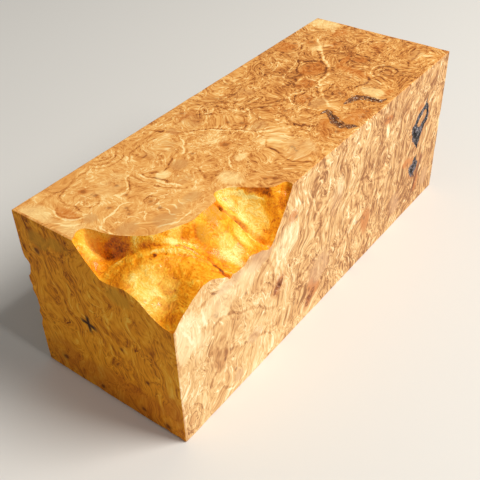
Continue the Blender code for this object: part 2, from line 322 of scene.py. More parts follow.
# The lip along the ledge: its rise and half width, and the sink, stand-off and half width of the groove at it
LIP_RISE, LIP_WIDTH = 0.55, 0.7
GROOVE_SINK, GROOVE_OFF, GROOVE_WIDTH = 0.5, 1.5, 0.8
# Noise: height, size and seed of the lumps on the skin, and of the waver of its lines and grooves
SKIN_LUMPS = ((0.42, 6.5, 13), (0.2, 2.6, 14), (0.07, 1.1, 15))
WAVER_HEIGHT, WAVER_SIZE, WAVER_SEED = 0.35, 3.1, 11
RAGGED_SIZE, RAGGED_SEED = 1.3, 12
print("growth lines:", len(GROWTH_LINES), "and grooves:", len(GROOVES))


# %% The skin's depth
def bell(distance, width):
    """A smooth bump one high: e to the minus (distance over width) squared."""
    return np.exp(-((distance / width) ** 2))


def end_fade(share, rate, start=0.0):
    """One along most of a curve, falling to the start value at both of its ends."""
    return np.clip(rate * np.minimum(share, 1.0 - share) + start, 0.0, 1.0)


def fine_marks(along, across):
    """Sum of the small rises, as a change of depth: less depth on a ridge, more in a groove."""
    places = np.column_stack([along, across])
    waver = WAVER_HEIGHT * lumps(places, WAVER_SIZE, WAVER_SEED)
    ragged = 1.0 + 0.5 * lumps(places, RAGGED_SIZE, RAGGED_SEED)
    gap, side, share = curve_distance(along, across, RIDGE_TOP)
    fade = end_fade(share, 6.0, 0.25)
    change = np.zeros(len(along))
    for off, width, rise in GROWTH_LINES:
        change -= rise * fade * bell(gap * -side - off + waver, width)
    for curve, width, sink, stand_off, rise in GROOVES:
        gap, _, share = curve_distance(along, across, curve)
        ends = end_fade(share, 8.0)
        change += sink * ends * bell(gap + 0.5 * waver, width * ragged)
        change -= rise * ends * bell(gap - stand_off + waver, 0.6 * stand_off)
    gap, side, _ = curve_distance(along, across, LEDGE_LIP)
    change -= LIP_RISE * bell(gap + waver, LIP_WIDTH)
    change += GROOVE_SINK * bell(gap * side - GROOVE_OFF + waver, GROOVE_WIDTH)
    return change + sum(high * lumps(places, size, seed) for high, size, seed in SKIN_LUMPS)


def skin_depth(along, across):
    """The lesser of sheet and wall, rounded where they meet, plus the fine marks well inside the rim."""
    sheet = sheet_depth(np.clip(along, 0.0, None), np.clip(across, 0.0, None))
    wall = rim_wall(along, across)
    blend = np.clip(0.5 + 0.5 * (wall - sheet) / RIM_ROUNDING, 0.0, 1.0)
    lesser = wall + (sheet - wall) * blend - RIM_ROUNDING * blend * (1.0 - blend)
    inside = np.clip(lesser / 2.0, 0.0, 1.0)
    return np.clip(lesser + inside * fine_marks(along, across), -OVERCUT, None)


probe = skin_depth(np.array([0.0, 20.0, 50.0]), np.array([20.0, 18.0, 9.0]))
print("depths at three places in mm:", np.round(probe, 2))

# %% [markdown]
# ## A cutter with the skin on its underside
#
# The skin is put into the block as the saw and the tree made it, by taking away what isn't there. The cutter
# is a grid whose lines run from the rim to just outside the block, so that its cells follow the rim, and a
# lid closes it well above the top. Any closed sheet here is made the same way, so one helper does it.

# %% Closed cutters
def grid_faces(columns, rows):
    """Corner numbers of the quads of a grid whose points are stored row by row."""
    corner = (np.arange(rows - 1)[:, None] * columns + np.arange(columns - 1)).ravel()
    return np.column_stack([corner, corner + 1, corner + columns + 1, corner + columns])


def new_mesh(name, points, faces):
    """A mesh object at the origin from points in millimetres and faces of any size."""
    mesh = bpy.data.meshes.new(name)
    mesh.from_pydata(np.asarray(points) * MM, [], faces)
    mesh.update()
    piece = bpy.data.objects.new(name, mesh)
    bpy.context.scene.collection.objects.link(piece)
    return piece


def lidded_sheet(name, points, columns, rows, axis, level):
    """The sheet, a wall round its border up to a flat lid at one level on that axis, and the lid."""
    index = np.arange(columns * rows).reshape(rows, columns)
    border = np.concatenate([index[0, :-1], index[:-1, -1], index[-1, :0:-1], index[:0:-1, 0]])
    top = points[border].copy()
    top[:, axis] = level
    above = len(points) + np.arange(len(border))
    walls = np.column_stack([border, above, np.roll(above, -1), np.roll(border, -1)])
    faces = [*grid_faces(columns, rows).tolist(), *walls.tolist(), above[::-1].tolist()]
    return new_mesh(name, np.vstack([points, top]), faces)


print("a grid of 3 by 2 points has these faces:", grid_faces(3, 2).tolist())


# %% The cutter over the skin
SKIN_LINES, SKIN_ROWS = 300, 112
# Rows crowd at the rim by this power, and the first lies this share of a line inside it
ROW_CROWDING, FIRST_ROW = 1.5, 0.004
# The share of the lines that end past the sawn end, and how the lines spread there and along the side
CORNER_LINE, END_SPREAD, SIDE_SPREAD = 0.34, 1.3, 0.8
# How far the sheet runs out past the rim, and how far off the block each lid lies
RIM_OVERRUN = 0.8
LID_GAP = 8.0


def skin_places():
    """Plan places of the cutter's grid: straight lines from the rim to the outside, crowded at the rim."""
    line, row = np.meshgrid(np.linspace(0, 1, SKIN_LINES), np.arange(SKIN_ROWS))
    line, row = line.ravel(), row.ravel()
    lengths = np.append(0.0, np.cumsum(np.linalg.norm(np.diff(RIM_CURVE[:, :2], axis=0), axis=1)))
    inner = np.column_stack([np.interp(line * lengths[-1], lengths, RIM_CURVE[:, axis]) for axis in (0, 1)])
    on_end = np.clip(line / CORNER_LINE, 0.0, 1.0) ** END_SPREAD
    on_side = np.clip((line - CORNER_LINE) / (1.0 - CORNER_LINE), 0.0, 1.0) ** SIDE_SPREAD
    outer = np.column_stack([
        -OVERCUT + on_side * (RIM_CURVE[-1, 0] + OVERCUT),
        RIM_CURVE[0, 1] - on_end * (RIM_CURVE[0, 1] + OVERCUT),
    ])
    down = np.clip((row - 1) / (SKIN_ROWS - 2), 0.0, 1.0)
    share = FIRST_ROW + (1.0 - FIRST_ROW) * down**ROW_CROWDING
    length = np.maximum(np.linalg.norm(outer - inner, axis=1), RIM_OVERRUN)
    share = np.where(row == 0, -RIM_OVERRUN / length, share)
    return (inner + (outer - inner) * share[:, None]).T


skin_along, skin_across = skin_places()
skin_sheet = to_points(skin_along, skin_across, HEIGHT - skin_depth(skin_along, skin_across))
air_over_skin = lidded_sheet("air_over_skin", skin_sheet, SKIN_LINES, SKIN_ROWS, 2, HEIGHT + LID_GAP)
print("skin cutter:", len(air_over_skin.data.polygons), "faces")

# %% [markdown]
# ## Hollows on the far side
#
# The far side's edge shows notches, so there is a little of the old skin there too. It is a few shallow
# bowls, each a paraboloid, with smaller waves across them, on a grid that faces the other way.

# %% Hollows
# Along, height, half length, half height, depth
FAR_HOLLOWS = [(2.0, 50.5, 9.0, 5.2, 3.0), (13.0, 31.0, 24.0, 14.0, 2.4), (31.0, 41.0, 15.0, 9.0, 2.8)]
HOLLOW_COLUMNS, HOLLOW_ROWS = 100, 90
HOLLOW_LOW, HOLLOW_HIGH = (-OVERCUT, 12.0), (52.5, 60.0)
BROAD_WAVE, FINE_WAVE = 0.35, 0.2
# Height, size and seed of the noise in the hollows
HOLLOW_LUMPS = ((0.3, 3.4, 21), (0.12, 1.4, 22))


def hollow_depth(along, height):
    """The deepest bowl at each place, plus sine waves and fine noise; below zero there is no hollow."""
    depth = np.full(along.shape, -2.0)
    for centre, middle, half_length, half_height, deep in FAR_HOLLOWS:
        bowl = 1.0 - ((along - centre) / half_length) ** 2 - ((height - middle) / half_height) ** 2
        depth = np.maximum(depth, deep * np.maximum(bowl, -1.0))
    waves = BROAD_WAVE * np.sin(along * 0.55 + 1.3) * np.sin(height * 0.62)
    waves += FINE_WAVE * np.sin(height * 1.1 + along * 0.3)
    depth += waves
    places = np.column_stack([along, height])
    for high, size, seed in HOLLOW_LUMPS:
        depth += high * lumps(places, size, seed)
    return depth


hollow_along, hollow_height = (
    side.ravel()
    for side in np.meshgrid(
        np.linspace(HOLLOW_LOW[0], HOLLOW_HIGH[0], HOLLOW_COLUMNS),
        np.linspace(HOLLOW_LOW[1], HOLLOW_HIGH[1], HOLLOW_ROWS),
    )
)
hollow_sheet = to_points(hollow_along, WIDTH - hollow_depth(hollow_along, hollow_height), hollow_height)
air_in_hollows = lidded_sheet(
    "air_in_hollows", hollow_sheet, HOLLOW_COLUMNS, HOLLOW_ROWS, 1, WIDTH / 2 + LID_GAP
)
print("hollow cutter:", len(air_in_hollows.data.polygons), "faces")

# %% [markdown]
# ## Seams of bark
#
# A burl folds in on itself as it grows and traps threads of bark. The saw then opens them as dark seams,
# which are a little lower than the wood because bark crumbles. Each seam is a profile carried along a path:
# a ring of points whose radius follows the seam's measured half width, roughened so that its edge is ragged.

# %% Seam cutters
# Each mark is along, across, half width on the top, and along, height, half width on the near side
TOP_SEAMS = {
    "upper_top_seam": [
        (130.6, 15.2, 0.3), (134.5, 14.6, 0.9), (138.5, 13.4, 1.2), (140.6, 10.6, 1.0),
        (141.0, 7.0, 1.2), (141.4, 4.4, 0.9), (144.6, 2.4, 0.3),
    ],
    "lower_top_seam": [
        (119.2, 19.0, 0.3), (121.6, 17.4, 0.9), (119.6, 14.6, 1.1), (117.0, 11.6, 1.3),
        (115.2, 8.4, 1.4), (115.4, 5.4, 1.1), (117.2, 3.2, 0.7), (118.4, 1.0, 0.3),
    ],
}
SIDE_SEAMS = {
    "upper_side_seam": [
        (184.6, 62.0, 0.3), (182.6, 57.0, 0.8), (177.4, 53.0, 1.0), (173.6, 48.4, 1.4),
        (174.6, 43.6, 2.2), (177.2, 39.4, 1.6), (179.0, 35.4, 0.3),
    ],
    "loop_side_seam": [
        (182.8, 58.4, 0.7), (185.4, 54.0, 1.0), (185.6, 49.6, 1.0), (182.6, 45.4, 1.2), (178.6, 42.0, 1.8),
    ],
    "lower_side_seam": [
        (179.6, 31.6, 0.3), (178.4, 28.0, 1.1), (175.8, 24.6, 1.6), (176.6, 21.4, 1.1),
        (180.4, 17.6, 0.5), (179.6, 10.8, 0.3),
    ],
    "near_spindle": [(57.4, 32.0, 0.3), (60.2, 33.6, 1.7), (63.0, 35.4, 0.3)],
    "middle_spindle": [(80.4, 7.6, 0.3), (83.2, 9.8, 1.3), (86.8, 11.8, 0.3)],
}
# How deep the middle of the ring lies, in radii, on the top and on the side
SEAM_SINK = {True: -0.62, False: -0.42}
SEAM_SIDES, SEAM_STEPS = 18, 14
THINNEST, RAGGEDNESS, GRAIN = 0.12, 0.5, 0.9
FIRST_SEED = 31


def seam_tube(name, marks, on_top, seed):
    """A ring swept along the seam: centre plus radius times (side, depth), the radius roughened by noise."""
    line = smooth_curve(marks, SEAM_STEPS)
    ahead = np.gradient(line[:, :2], axis=0)
    ahead /= np.linalg.norm(ahead, axis=1)[:, None]
    sideways = np.column_stack([-ahead[:, 1], ahead[:, 0]])
    turn = np.linspace(0, 2 * np.pi, SEAM_SIDES, endpoint=False)
    radius = np.repeat(np.maximum(line[:, 2], THINNEST), SEAM_SIDES)
    ring = np.tile(turn, len(line))
    flat = np.repeat(line[:, :2], SEAM_SIDES, axis=0)
    rough = 1.0 + RAGGEDNESS * lumps(np.column_stack([flat, 2.0 * np.cos(ring)]), GRAIN, seed)
    flat = flat + np.repeat(sideways, SEAM_SIDES, axis=0) * (np.cos(ring) * radius * rough)[:, None]
    depth = (SEAM_SINK[on_top] + np.sin(ring)) * radius * rough
    if on_top:
        points = to_points(flat[:, 0], flat[:, 1], HEIGHT - depth)
    else:
        points = to_points(flat[:, 0], depth, flat[:, 1])
    start = (np.arange(len(line) - 1)[:, None] * SEAM_SIDES + np.arange(SEAM_SIDES)).ravel()
    step = np.where(start % SEAM_SIDES == SEAM_SIDES - 1, 1 - SEAM_SIDES, 1)
    quads = np.column_stack([start, start + step, start + step + SEAM_SIDES, start + SEAM_SIDES])
    caps = [list(range(SEAM_SIDES))[::-1], list(range(len(points) - SEAM_SIDES, len(points)))]
    return new_mesh(name, points, [face[::-1] for face in [*quads.tolist(), *caps]])


seam_cutters = [
    seam_tube(name, marks, name in TOP_SEAMS, FIRST_SEED + number)
    for number, (name, marks) in enumerate({**TOP_SEAMS, **SIDE_SEAMS}.items())
]
print("seams:", [seam.name for seam in seam_cutters])

# %% [markdown]
# ## The sawn block
#
# Six flat faces meet in edges that a saw leaves sharp and a hand then eases. A cube with a Bevel would do,
# but one bevel has the same width all along. Here each face is a grid, and every grid point is moved by one
# rule: take the nearest point of a slightly smaller box, then step one radius outwards. The radius wanders
# along the edges and grows at a few chips. Each face also gets the number of its finish in the list of seven.

# %% Finishes of the faces
FINISHES = ["top_wood", "side_wood", "near_end_wood_painted_shade", "far_end_wood", "amber_skin", "far_hollow", "seam_bark"]
# Axis that the face looks along, which way, and its finish
FACE_FINISH = {
    (0, -1): "near_end_wood_painted_shade",
    (0, 1): "far_end_wood",
    (1, -1): "side_wood",
    (1, 1): "side_wood",
    (2, -1): "top_wood",
    (2, 1): "top_wood",
}
print("finishes:", ", ".join(FINISHES))

# %% Grids of the six faces
CELLS = (168, 61, 64)
# Extra lines for the rounding, at these distances from each edge, and the band that they take
EDGE_LINES = (0.0, 0.16, 0.38, 0.7)
EDGE_BAND = 1.3


def edge_spacing(side, cells):
    """Even steps, with the extra lines close to both edges."""
    half = side / 2
    near = np.array(EDGE_LINES)
    middle = np.linspace(EDGE_BAND - half, half - EDGE_BAND, cells - 2 * len(near))
    return np.concatenate([near - half, middle, half - near[::-1]])


def box_face(axis, sign, spacing):
    """One face's grid of points and quads; its other axes follow in turn, so that quads face outwards."""
    first, second = (axis + 1) % 3, (axis + 2) % 3
    u, v = np.meshgrid(spacing[first], spacing[second])
    points = np.empty((u.size, 3))
    points[:, axis] = sign * spacing[axis][-1]
    points[:, first], points[:, second] = u.ravel(), v.ravel()
    quads = grid_faces(len(spacing[first]), len(spacing[second]))
    return points, quads if sign > 0 else quads[:, ::-1]


print("lines along the block:", len(edge_spacing(LENGTH, CELLS[0])))

# %% Block with eased edges
EASE, EASE_WANDER = 0.42, 0.2
WANDER_SIZE, WANDER_SHIFT, WANDER_SEED = 7.0, 500.0, 41
# Chips on the edges: x, y, z of the centre, reach, extra radius
CHIPS = [
    (-101.5, 34.1, 49.4, 2.2, 0.9),
    (-101.5, 36.6, 54.6, 1.6, 0.8),
    (-101.5, -26.5, 0.4, 1.8, 0.7),
    (-101.5, -33.0, 0.0, 2.4, 0.8),
    (-101.5, 9.0, 0.0, 1.5, 0.5),
    (101.5, -36.7, 41.0, 1.6, 0.7),
    (101.5, -36.7, 22.0, 1.3, 0.5),
    (12.0, 36.7, 0.0, 2.0, 0.6),
]


def eased(points, sides):
    """Nearest point of the box that is one radius smaller, plus the radius along the unit step from there."""
    radius = EASE + EASE_WANDER * lumps(points + WANDER_SHIFT, WANDER_SIZE, WANDER_SEED)
    for x, y, z, reach, extra in CHIPS:
        gap = np.linalg.norm(points - (x, y, z - sides[2] / 2), axis=1)
        radius = radius + extra * bell(gap, reach)
    inner = np.clip(points, radius[:, None] - sides / 2, sides / 2 - radius[:, None])
    step = points - inner
    return inner + step / np.linalg.norm(step, axis=1)[:, None] * radius[:, None]


def build_block():
    """All six faces, eased, with the points that two faces share merged into one."""
    sides = np.array([LENGTH, WIDTH, HEIGHT])
    spacing = [edge_spacing(side, cells) for side, cells in zip(sides, CELLS)]
    points, quads, finish, start = [], [], [], 0
    for axis in range(3):
        for sign in (-1, 1):
            face_points, face_quads = box_face(axis, sign, spacing)
            points.append(face_points)
            quads.append(face_quads + start)
            finish += [FINISHES.index(FACE_FINISH[axis, sign])] * len(face_quads)
            start += len(face_points)
    points = np.vstack(points)
    _, keep, same = np.unique(np.round(points, 5), axis=0, return_index=True, return_inverse=True)
    corners = eased(points[keep], sides) + (0, 0, sides[2] / 2)
    block = new_mesh("sawn_block", corners, same.ravel()[np.vstack(quads)].tolist())
    block.data.polygons.foreach_set("material_index", finish)
    return block


blank = build_block()
print("the uncut block has", len(blank.data.polygons), "faces")

# %% [markdown]
# ## Cutting
#
# Each cutter carries the finish of the surface that it leaves. The Boolean modifier hands it over to the
# block, so the skin, the hollows and the bark need no painting by hand.

# %% Cut the corner, the hollows and the seams
materials = [bpy.data.materials.new(name) for name in FINISHES]


def cut_away(block, cutter, finish):
    """Takes the cutter's volume from the block and leaves the cutter's finish on the new faces."""
    for material in materials:
        cutter.data.materials.append(material)
    cutter.data.polygons.foreach_set("material_index", [FINISHES.index(finish)] * len(cutter.data.polygons))
    modifier = block.modifiers.new("cut_" + cutter.name, "BOOLEAN")
    modifier.operation = "DIFFERENCE"
    modifier.solver = "EXACT"
    modifier.material_mode = "TRANSFER"
    modifier.object = cutter


for material in materials:
    blank.data.materials.append(material)
cut_away(blank, air_over_skin, "amber_skin")
cut_away(blank, air_in_hollows, "far_hollow")
for seam in seam_cutters:
    cut_away(blank, seam, "seam_bark")
bpy.context.view_layer.update()
cut_mesh = bpy.data.meshes.new_from_object(blank.evaluated_get(bpy.context.evaluated_depsgraph_get()))
blank.modifiers.clear()
blank.data = cut_mesh
blank.name = "burl_blank"
for cutter in [air_over_skin, air_in_hollows, *seam_cutters]:
    bpy.data.objects.remove(cutter)
cut_mesh.calc_loop_triangles()
print("the cut block has", len(cut_mesh.loop_triangles), "triangles")

# %% [markdown]
# ## The figure that can be pointed at
#
# Most of a burl's figure is crowded and random, and noise can stand for it. A few marks are not: the
# branching cream vein, the ringed knots, the grey patches between the eyes. Somebody holding the block would
# point at them, so they are measured. Each line is a smooth curve, given as its half width and a few places
# on it: along and across on the top and the skin, along and height on the side, across and height on the end.

# %% Cream veins in the top
TOP_CREAM = [
    (0.55, [(182, 61), (178, 57.5), (171, 51), (165, 46.2), (160, 41), (155, 36.4)]),
    (0.5, [(155, 36.4), (148, 34.6), (142.5, 34.8), (138, 31), (134, 28.3), (131, 25), (128, 21),
           (124.5, 18)]),
    (0.4, [(142.3, 33.5), (142.2, 37), (142.6, 40.5), (143.4, 43.5)]),
    (0.35, [(73.5, 56.5), (80.5, 52), (84.5, 46.5), (88.5, 39.6), (91.4, 33.2), (95.4, 29.2), (104, 25)]),
    (0.35, [(43.6, 57), (46, 60.5), (48.5, 63.5)]),
    (0.35, [(26.5, 48), (30, 47), (34, 49.4), (37.8, 53.2), (41, 54.6)]),
    (0.4, [(42.8, 52.5), (42.2, 47.5), (43, 41.5), (45, 35.5), (46.4, 31.5)]),
    (0.35, [(61, 46.9), (64.5, 47.6), (67.4, 50.2), (69.4, 52), (70.6, 55), (73, 56.6)]),
    (0.35, [(64.6, 24), (68.2, 28), (71, 30.5), (74, 31)]),
    (0.4, [(8.6, 61), (6.8, 57.5), (7, 53), (9.6, 49.4), (12.2, 48.4)]),
    (0.4, [(3, 58), (3.8, 52.5), (6.6, 48.4), (8.6, 47)]),
    (0.3, [(14.5, 56), (17.5, 57)]),
    (0.3, [(16, 54), (18, 57)]),
    (0.3, [(21, 54), (20.5, 58.5)]),
    (0.35, [(11, 41.5), (10.4, 37), (10.8, 33.6)]),
    (0.3, [(13, 40), (15, 41.5), (18, 42), (22, 42.6), (26, 42.4), (28.6, 40)]),
    (0.3, [(28.5, 34.4), (31, 33), (34, 33.4)]),
    (0.3, [(33, 30), (34.6, 27.4), (33.6, 25)]),
    (0.3, [(30.5, 30.5), (31.5, 28), (30.4, 25.2), (31.4, 22.8)]),
    (0.3, [(15, 38), (17, 36)]),
    (0.3, [(20, 36.4), (22.4, 34)]),
    (0.3, [(18.5, 31.5), (21, 30)]),
    (0.3, [(24, 35.5), (26.4, 33)]),
    (0.3, [(22, 28.6), (23.4, 31.4), (26, 32)]),
    (0.35, [(19, 24.5), (23.6, 22.8), (27, 20.6), (32, 19.6), (36, 20.4)]),
    (0.3, [(96, 62.6), (93.8, 58), (90, 55.6)]),
    (0.35, [(98.5, 60.5), (94.6, 57.2), (91, 59.6), (88, 61)]),
    (0.35, [(106.4, 47.5), (105, 45.2), (102.4, 49), (100.4, 53.4)]),
    (0.35, [(105, 45.2), (102, 43), (98.6, 40.4)]),
    (0.3, [(119, 30), (119.6, 34), (122.4, 37), (126.4, 38), (130.6, 36.2), (132.4, 32.4)]),
    (0.3, [(119, 30), (119.4, 25.6), (121, 21.6)]),
    (0.3, [(134, 48), (139, 51), (146, 52.4), (152, 53.4), (158, 56), (161.6, 59.6)]),
    (0.3, [(138, 57.6), (143.6, 58.6), (148.6, 61.4), (152.6, 65.4)]),
    (0.3, [(141, 60.4), (146, 62.6), (150.6, 67)]),
    (0.3, [(160.4, 15), (161.8, 19), (166, 21.4), (171, 20.4), (174, 17)]),
    (0.3, [(176, 23), (180, 25), (186, 25.6), (192, 24.6)]),
    (0.3, [(180, 38), (186, 39.4), (192, 38.4), (199, 40)]),
]
print("cream veins in the top:", len(TOP_CREAM))

# %% Brown lines in the top
TOP_BROWN = [
    (0.42, [(40.8, 55), (39.9, 50), (40, 44.5), (41.2, 39), (43.2, 34), (45, 30)]),
    (0.36, [(44.2, 52.6), (43.2, 47.5), (44, 42), (46, 36.4)]),
    (0.36, [(43.6, 52), (45.4, 48.2), (48, 45.6), (51, 45), (54, 46.4), (57.4, 47.2), (61, 46)]),
    (0.3, [(61, 46), (64.8, 46.4), (68, 49.2), (70.2, 51.4)]),
    (0.4, [(70.6, 55), (71.8, 58), (71.2, 61.6), (70, 65.4), (68.4, 69.4), (67.6, 73)]),
    (0.6, [(73.6, 57.2), (72.8, 59.6), (72, 62.4), (71.4, 65)]),
    (0.35, [(44.4, 57.6), (47.4, 61.4), (51, 63.6), (58, 64.4), (64, 63.4), (69, 61)]),
    (0.4, [(50.4, 58.2), (52.6, 57.6), (54.6, 59.2), (55.8, 62.4), (57.6, 65)]),
    (0.45, [(10.6, 61.4), (8, 58.4), (7.7, 54), (9.4, 50.6), (11.6, 49.4)]),
    (0.3, [(12.6, 61), (13.6, 57), (13.4, 53), (11.6, 50)]),
    (0.4, [(13.4, 58), (13.8, 62.4), (16.4, 65.6), (20.6, 66.4), (24.4, 64.4)]),
    (0.35, [(13.6, 68.6), (17.4, 67.4), (21.6, 67), (27, 68.6), (33, 68.8), (35.4, 70)]),
    (0.5, [(24, 57), (23.6, 55), (22.4, 52.8), (21.6, 52)]),
    (0.3, [(14.6, 53.4), (17, 50.8), (20.6, 50.4), (22.6, 51.6)]),
    (0.35, [(36, 71), (37.6, 68.4), (41, 66.6), (45, 66.6), (48, 68.4), (49.4, 71.4)]),
    (0.35, [(38.4, 72.6), (40, 69.6), (43.4, 68.4), (46.4, 69.6), (47.6, 72.4)]),
    (0.3, [(34.6, 70), (36.6, 66.4), (40, 64.4), (44.6, 63.6), (48, 65.2), (51, 68.6)]),
    (0.3, [(27, 47.4), (30.4, 46), (34.4, 48.6), (38.2, 52.4), (40.8, 53.6)]),
    (0.35, [(29.4, 36), (30.4, 38.2), (33, 38.4), (35, 36.8), (34.6, 34.4), (32, 33.4), (29.8, 34.2),
           (29.4, 36)]),
    (0.5, [(59.4, 36.6), (57.4, 34), (55.4, 30.4)]),
    (0.5, [(64.4, 45), (62.4, 42), (60.4, 40)]),
    (0.4, [(74.6, 58), (78, 54.6), (82, 51), (86, 45.4), (89.6, 38.4), (92.6, 32.6), (96.4, 29.6),
           (101, 28)]),
    (0.45, [(85, 23), (84.6, 20), (83.4, 15.6), (81.8, 10.8), (82.6, 7), (85, 3.6), (87.4, 0.4)]),
    (0.35, [(85, 23), (88, 25.4), (91, 26.6)]),
    (0.4, [(99.6, 35.6), (95.6, 33.4), (92.6, 34.4)]),
    (0.35, [(76.6, 64.6), (80, 63.4), (83.4, 64.8), (87.4, 64)]),
    (0.7, [(82.6, 65), (85.6, 64.4), (88.4, 64.8)]),
    (0.4, [(88.6, 61.6), (91.4, 58.4), (94.4, 55.4)]),
    (0.45, [(106.8, 45.2), (110.4, 42), (113.8, 39), (117.2, 35.4)]),
    (0.35, [(100.6, 53), (102.8, 49.4), (105, 46)]),
    (0.7, [(104.4, 26.4), (106.2, 22.4), (108.2, 18.6)]),
    (0.35, [(103.4, 27), (105, 22.6), (107, 18), (110, 13)]),
    (0.35, [(121, 30.4), (121.6, 33.6), (124.4, 35.8), (128, 35.6), (130.6, 33)]),
    (0.35, [(121, 26), (125, 28.4), (129, 28.8), (131.4, 26.6)]),
    (0.35, [(121.4, 58.4), (120.4, 54.4), (116.6, 51), (111.6, 50.4), (107.4, 52.6)]),
    (0.35, [(177, 59), (170, 52.6), (164, 47.6), (158.6, 42), (153.8, 37.8), (148, 36), (143.4, 36.2)]),
    (0.3, [(137, 32.4), (133.4, 30), (130, 26.6)]),
    (0.5, [(144.4, 47), (148.4, 50.4), (154, 51), (159, 47.6), (160, 43)]),
    (0.4, [(146.6, 42.4), (148, 38.6), (152, 37.6)]),
    (0.4, [(173, 51), (176.4, 53.6), (180, 55.2)]),
    (0.4, [(158.6, 70), (159, 65), (162, 61.6), (167, 60.8), (171, 63), (172.4, 67.4)]),
    (0.35, [(161.6, 14.6), (163, 18.2), (167, 19.8), (171, 18.4), (172.6, 14.4), (170.6, 10),
           (162.8, 10.6)]),
    (0.3, [(164.4, 14), (165.6, 16.8), (168.8, 16.6), (169.6, 13.4), (167.4, 11.4), (165, 12.2)]),
    (0.35, [(135, 19.4), (135.4, 23.4), (138.6, 24.6), (140.4, 22), (139, 18.8), (136.6, 18.2)]),
    (0.4, [(146, 20), (152, 17), (158, 18), (160, 21.4)]),
    (0.4, [(176, 8), (182, 11), (190, 10.6), (197, 13)]),
    (0.35, [(176, 46), (180, 49.4), (184, 48.6), (186, 45)]),
    (0.35, [(186, 34), (190, 36), (195, 33.6), (194.6, 29.6), (190, 28.4), (186.6, 30.6), (186, 34)]),
]
print("brown lines in the top:", len(TOP_BROWN))

# %% Lines in the near side and in the near end
SIDE_BROWN = [
    (0.5, [(17, 38), (19, 43), (25, 44.5), (31, 42), (36, 38.5), (44, 35), (50, 30), (56, 25), (61, 23.5)]),
    (0.45, [(39.5, 21), (43, 21), (47, 17.5), (51, 15), (54, 12), (56, 8)]),
    (0.45, [(47, 57), (52, 52), (55, 47), (57, 42), (56, 37), (58, 33)]),
    (0.5, [(50, 55), (54, 50), (56, 44), (56, 38)]),
    (0.8, [(78, 38.5), (79, 39), (84, 41), (88, 43), (92, 47)]),
    (0.55, [(72, 28), (78, 27), (83, 28), (88, 30), (92, 31)]),
    (0.8, [(100, 41), (104, 45), (109, 48), (112, 47)]),
    (0.5, [(93, 40), (100, 48), (108, 50)]),
    (0.5, [(16, 8), (16, 14), (18, 19), (22, 23)]),
    (0.45, [(14, 12), (13, 17), (10, 19)]),
    (0.45, [(22, 14), (23, 10), (26, 6), (30, 4)]),
    (0.5, [(0, 14.5), (5, 15.5), (9.5, 12), (9.8, 6), (7, 2.5), (2, 3.5), (0, 6)]),
    (0.6, [(26, 28), (26.5, 25), (25, 22)]),
    (0.6, [(30, 24), (31, 27)]),
    (0.5, [(10, 58), (20, 58.5), (27, 57), (32, 54), (38, 52)]),
    (0.5, [(118, 50), (128, 47), (133, 42), (140, 40), (147, 36)]),
    (0.9, [(140, 69), (144, 68), (148, 66)]),
]
SIDE_CREAM = [
    (0.45, [(59, 53), (59.2, 47.5), (60, 43)]),
    (0.5, [(96.2, 65), (95.6, 60), (95, 54)]),
    (0.5, [(144.6, 64.6), (145, 61), (145.4, 57.6)]),
    (0.4, [(113.6, 40), (113.8, 36), (115, 32.6)]),
    (0.4, [(79, 68.6), (82.6, 62.4), (86, 55.6), (88.4, 50)]),
    (0.4, [(76.4, 70), (79.4, 66)]),
    (0.4, [(25, 6.4), (28, 3.6), (33, 3.2), (38, 5)]),
    (0.4, [(16, 4), (20, 9), (18.6, 14)]),
    (0.5, [(14.6, 58), (15.4, 52), (16.4, 46)]),
    (0.4, [(12, 52), (12.4, 47)]),
    (0.45, [(4, 55), (7, 50), (9, 44)]),
]
END_BROWN = [
    (0.7, [(27.5, 33.5), (25.5, 31)]),
    (0.45, [(16.5, 21.5), (14, 24.5), (8, 26.5)]),
    (0.5, [(32, 46), (31.5, 42)]),
]
END_CREAM = [
    (0.7, [(34, 63), (33, 55), (32.5, 45), (32, 38), (32.5, 30), (34, 22)]),
    (0.5, [(40, 62), (39.5, 52), (40, 42)]),
]
print("lines in the side:", len(SIDE_BROWN + SIDE_CREAM), "and in the end:", len(END_BROWN + END_CREAM))

# %% Lines on the skin, and strokes
SKIN_CREAM = [
    (0.8, [(2.5, 31.6), (7, 29.6), (11.7, 27.4), (14.8, 24.4), (18.9, 20.6), (23, 16.6), (27, 12.6),
           (29.8, 8.6)]),
    (0.5, [(8, 26.8), (12.4, 24), (16.4, 20), (20.4, 16.2), (24, 12), (27, 8)]),
    (0.4, [(50.6, 19.4), (54.6, 16), (58.6, 9.6), (62.6, 4.2)]),
    (0.4, [(43.4, 15.6), (47, 12), (50, 7.6), (52, 3.4)]),
]
# Dark lines: one along the ridge, the rest in the fold, the split, the pocket, the nick and under the ledge,
# partly darker wood and partly painted shade in these creases
SKIN_BROWN_AND_CREASE_SHADE = [
    (0.25, [(13, 26), (16, 22.6), (20, 18.8), (24.4, 14.4), (27.4, 10.4)]),
    (0.4, [(27.9, 6.6), (28.6, 4), (29.6, 1.6), (31, 0)]),
    (0.5, [(43, 17), (46, 14.4), (48.6, 11.8), (50.2, 9.4), (51.6, 7.2)]),
    (0.75, [(7.6, 36.6), (8.4, 34.8), (9.7, 32.2), (11.4, 29.2), (13.0, 27.2)]),
    (0.7, [(14.6, 19.9), (15.7, 19.4)]),
    (0.5, [(57, 13.6), (60, 8.8), (63, 4.6)]),
]
# A turner's plain centre mark, two short ink strokes on the near end, and the rusty streak beside the bark
END_INK = [
    (0.95, [(38.8, 36.0), (43, 37.0), (47.3, 37.7)]),
    (0.9, [(43.5, 41.4), (43, 37), (42.8, 32.6)]),
]
SIDE_RUST = [(1.0, [(186, 31), (185.2, 25.4), (183, 20), (180.8, 14), (178, 6.6)])]
print("lines on the skin:", len(SKIN_CREAM + SKIN_BROWN_AND_CREASE_SHADE), "and strokes:", len(END_INK + SIDE_RUST))
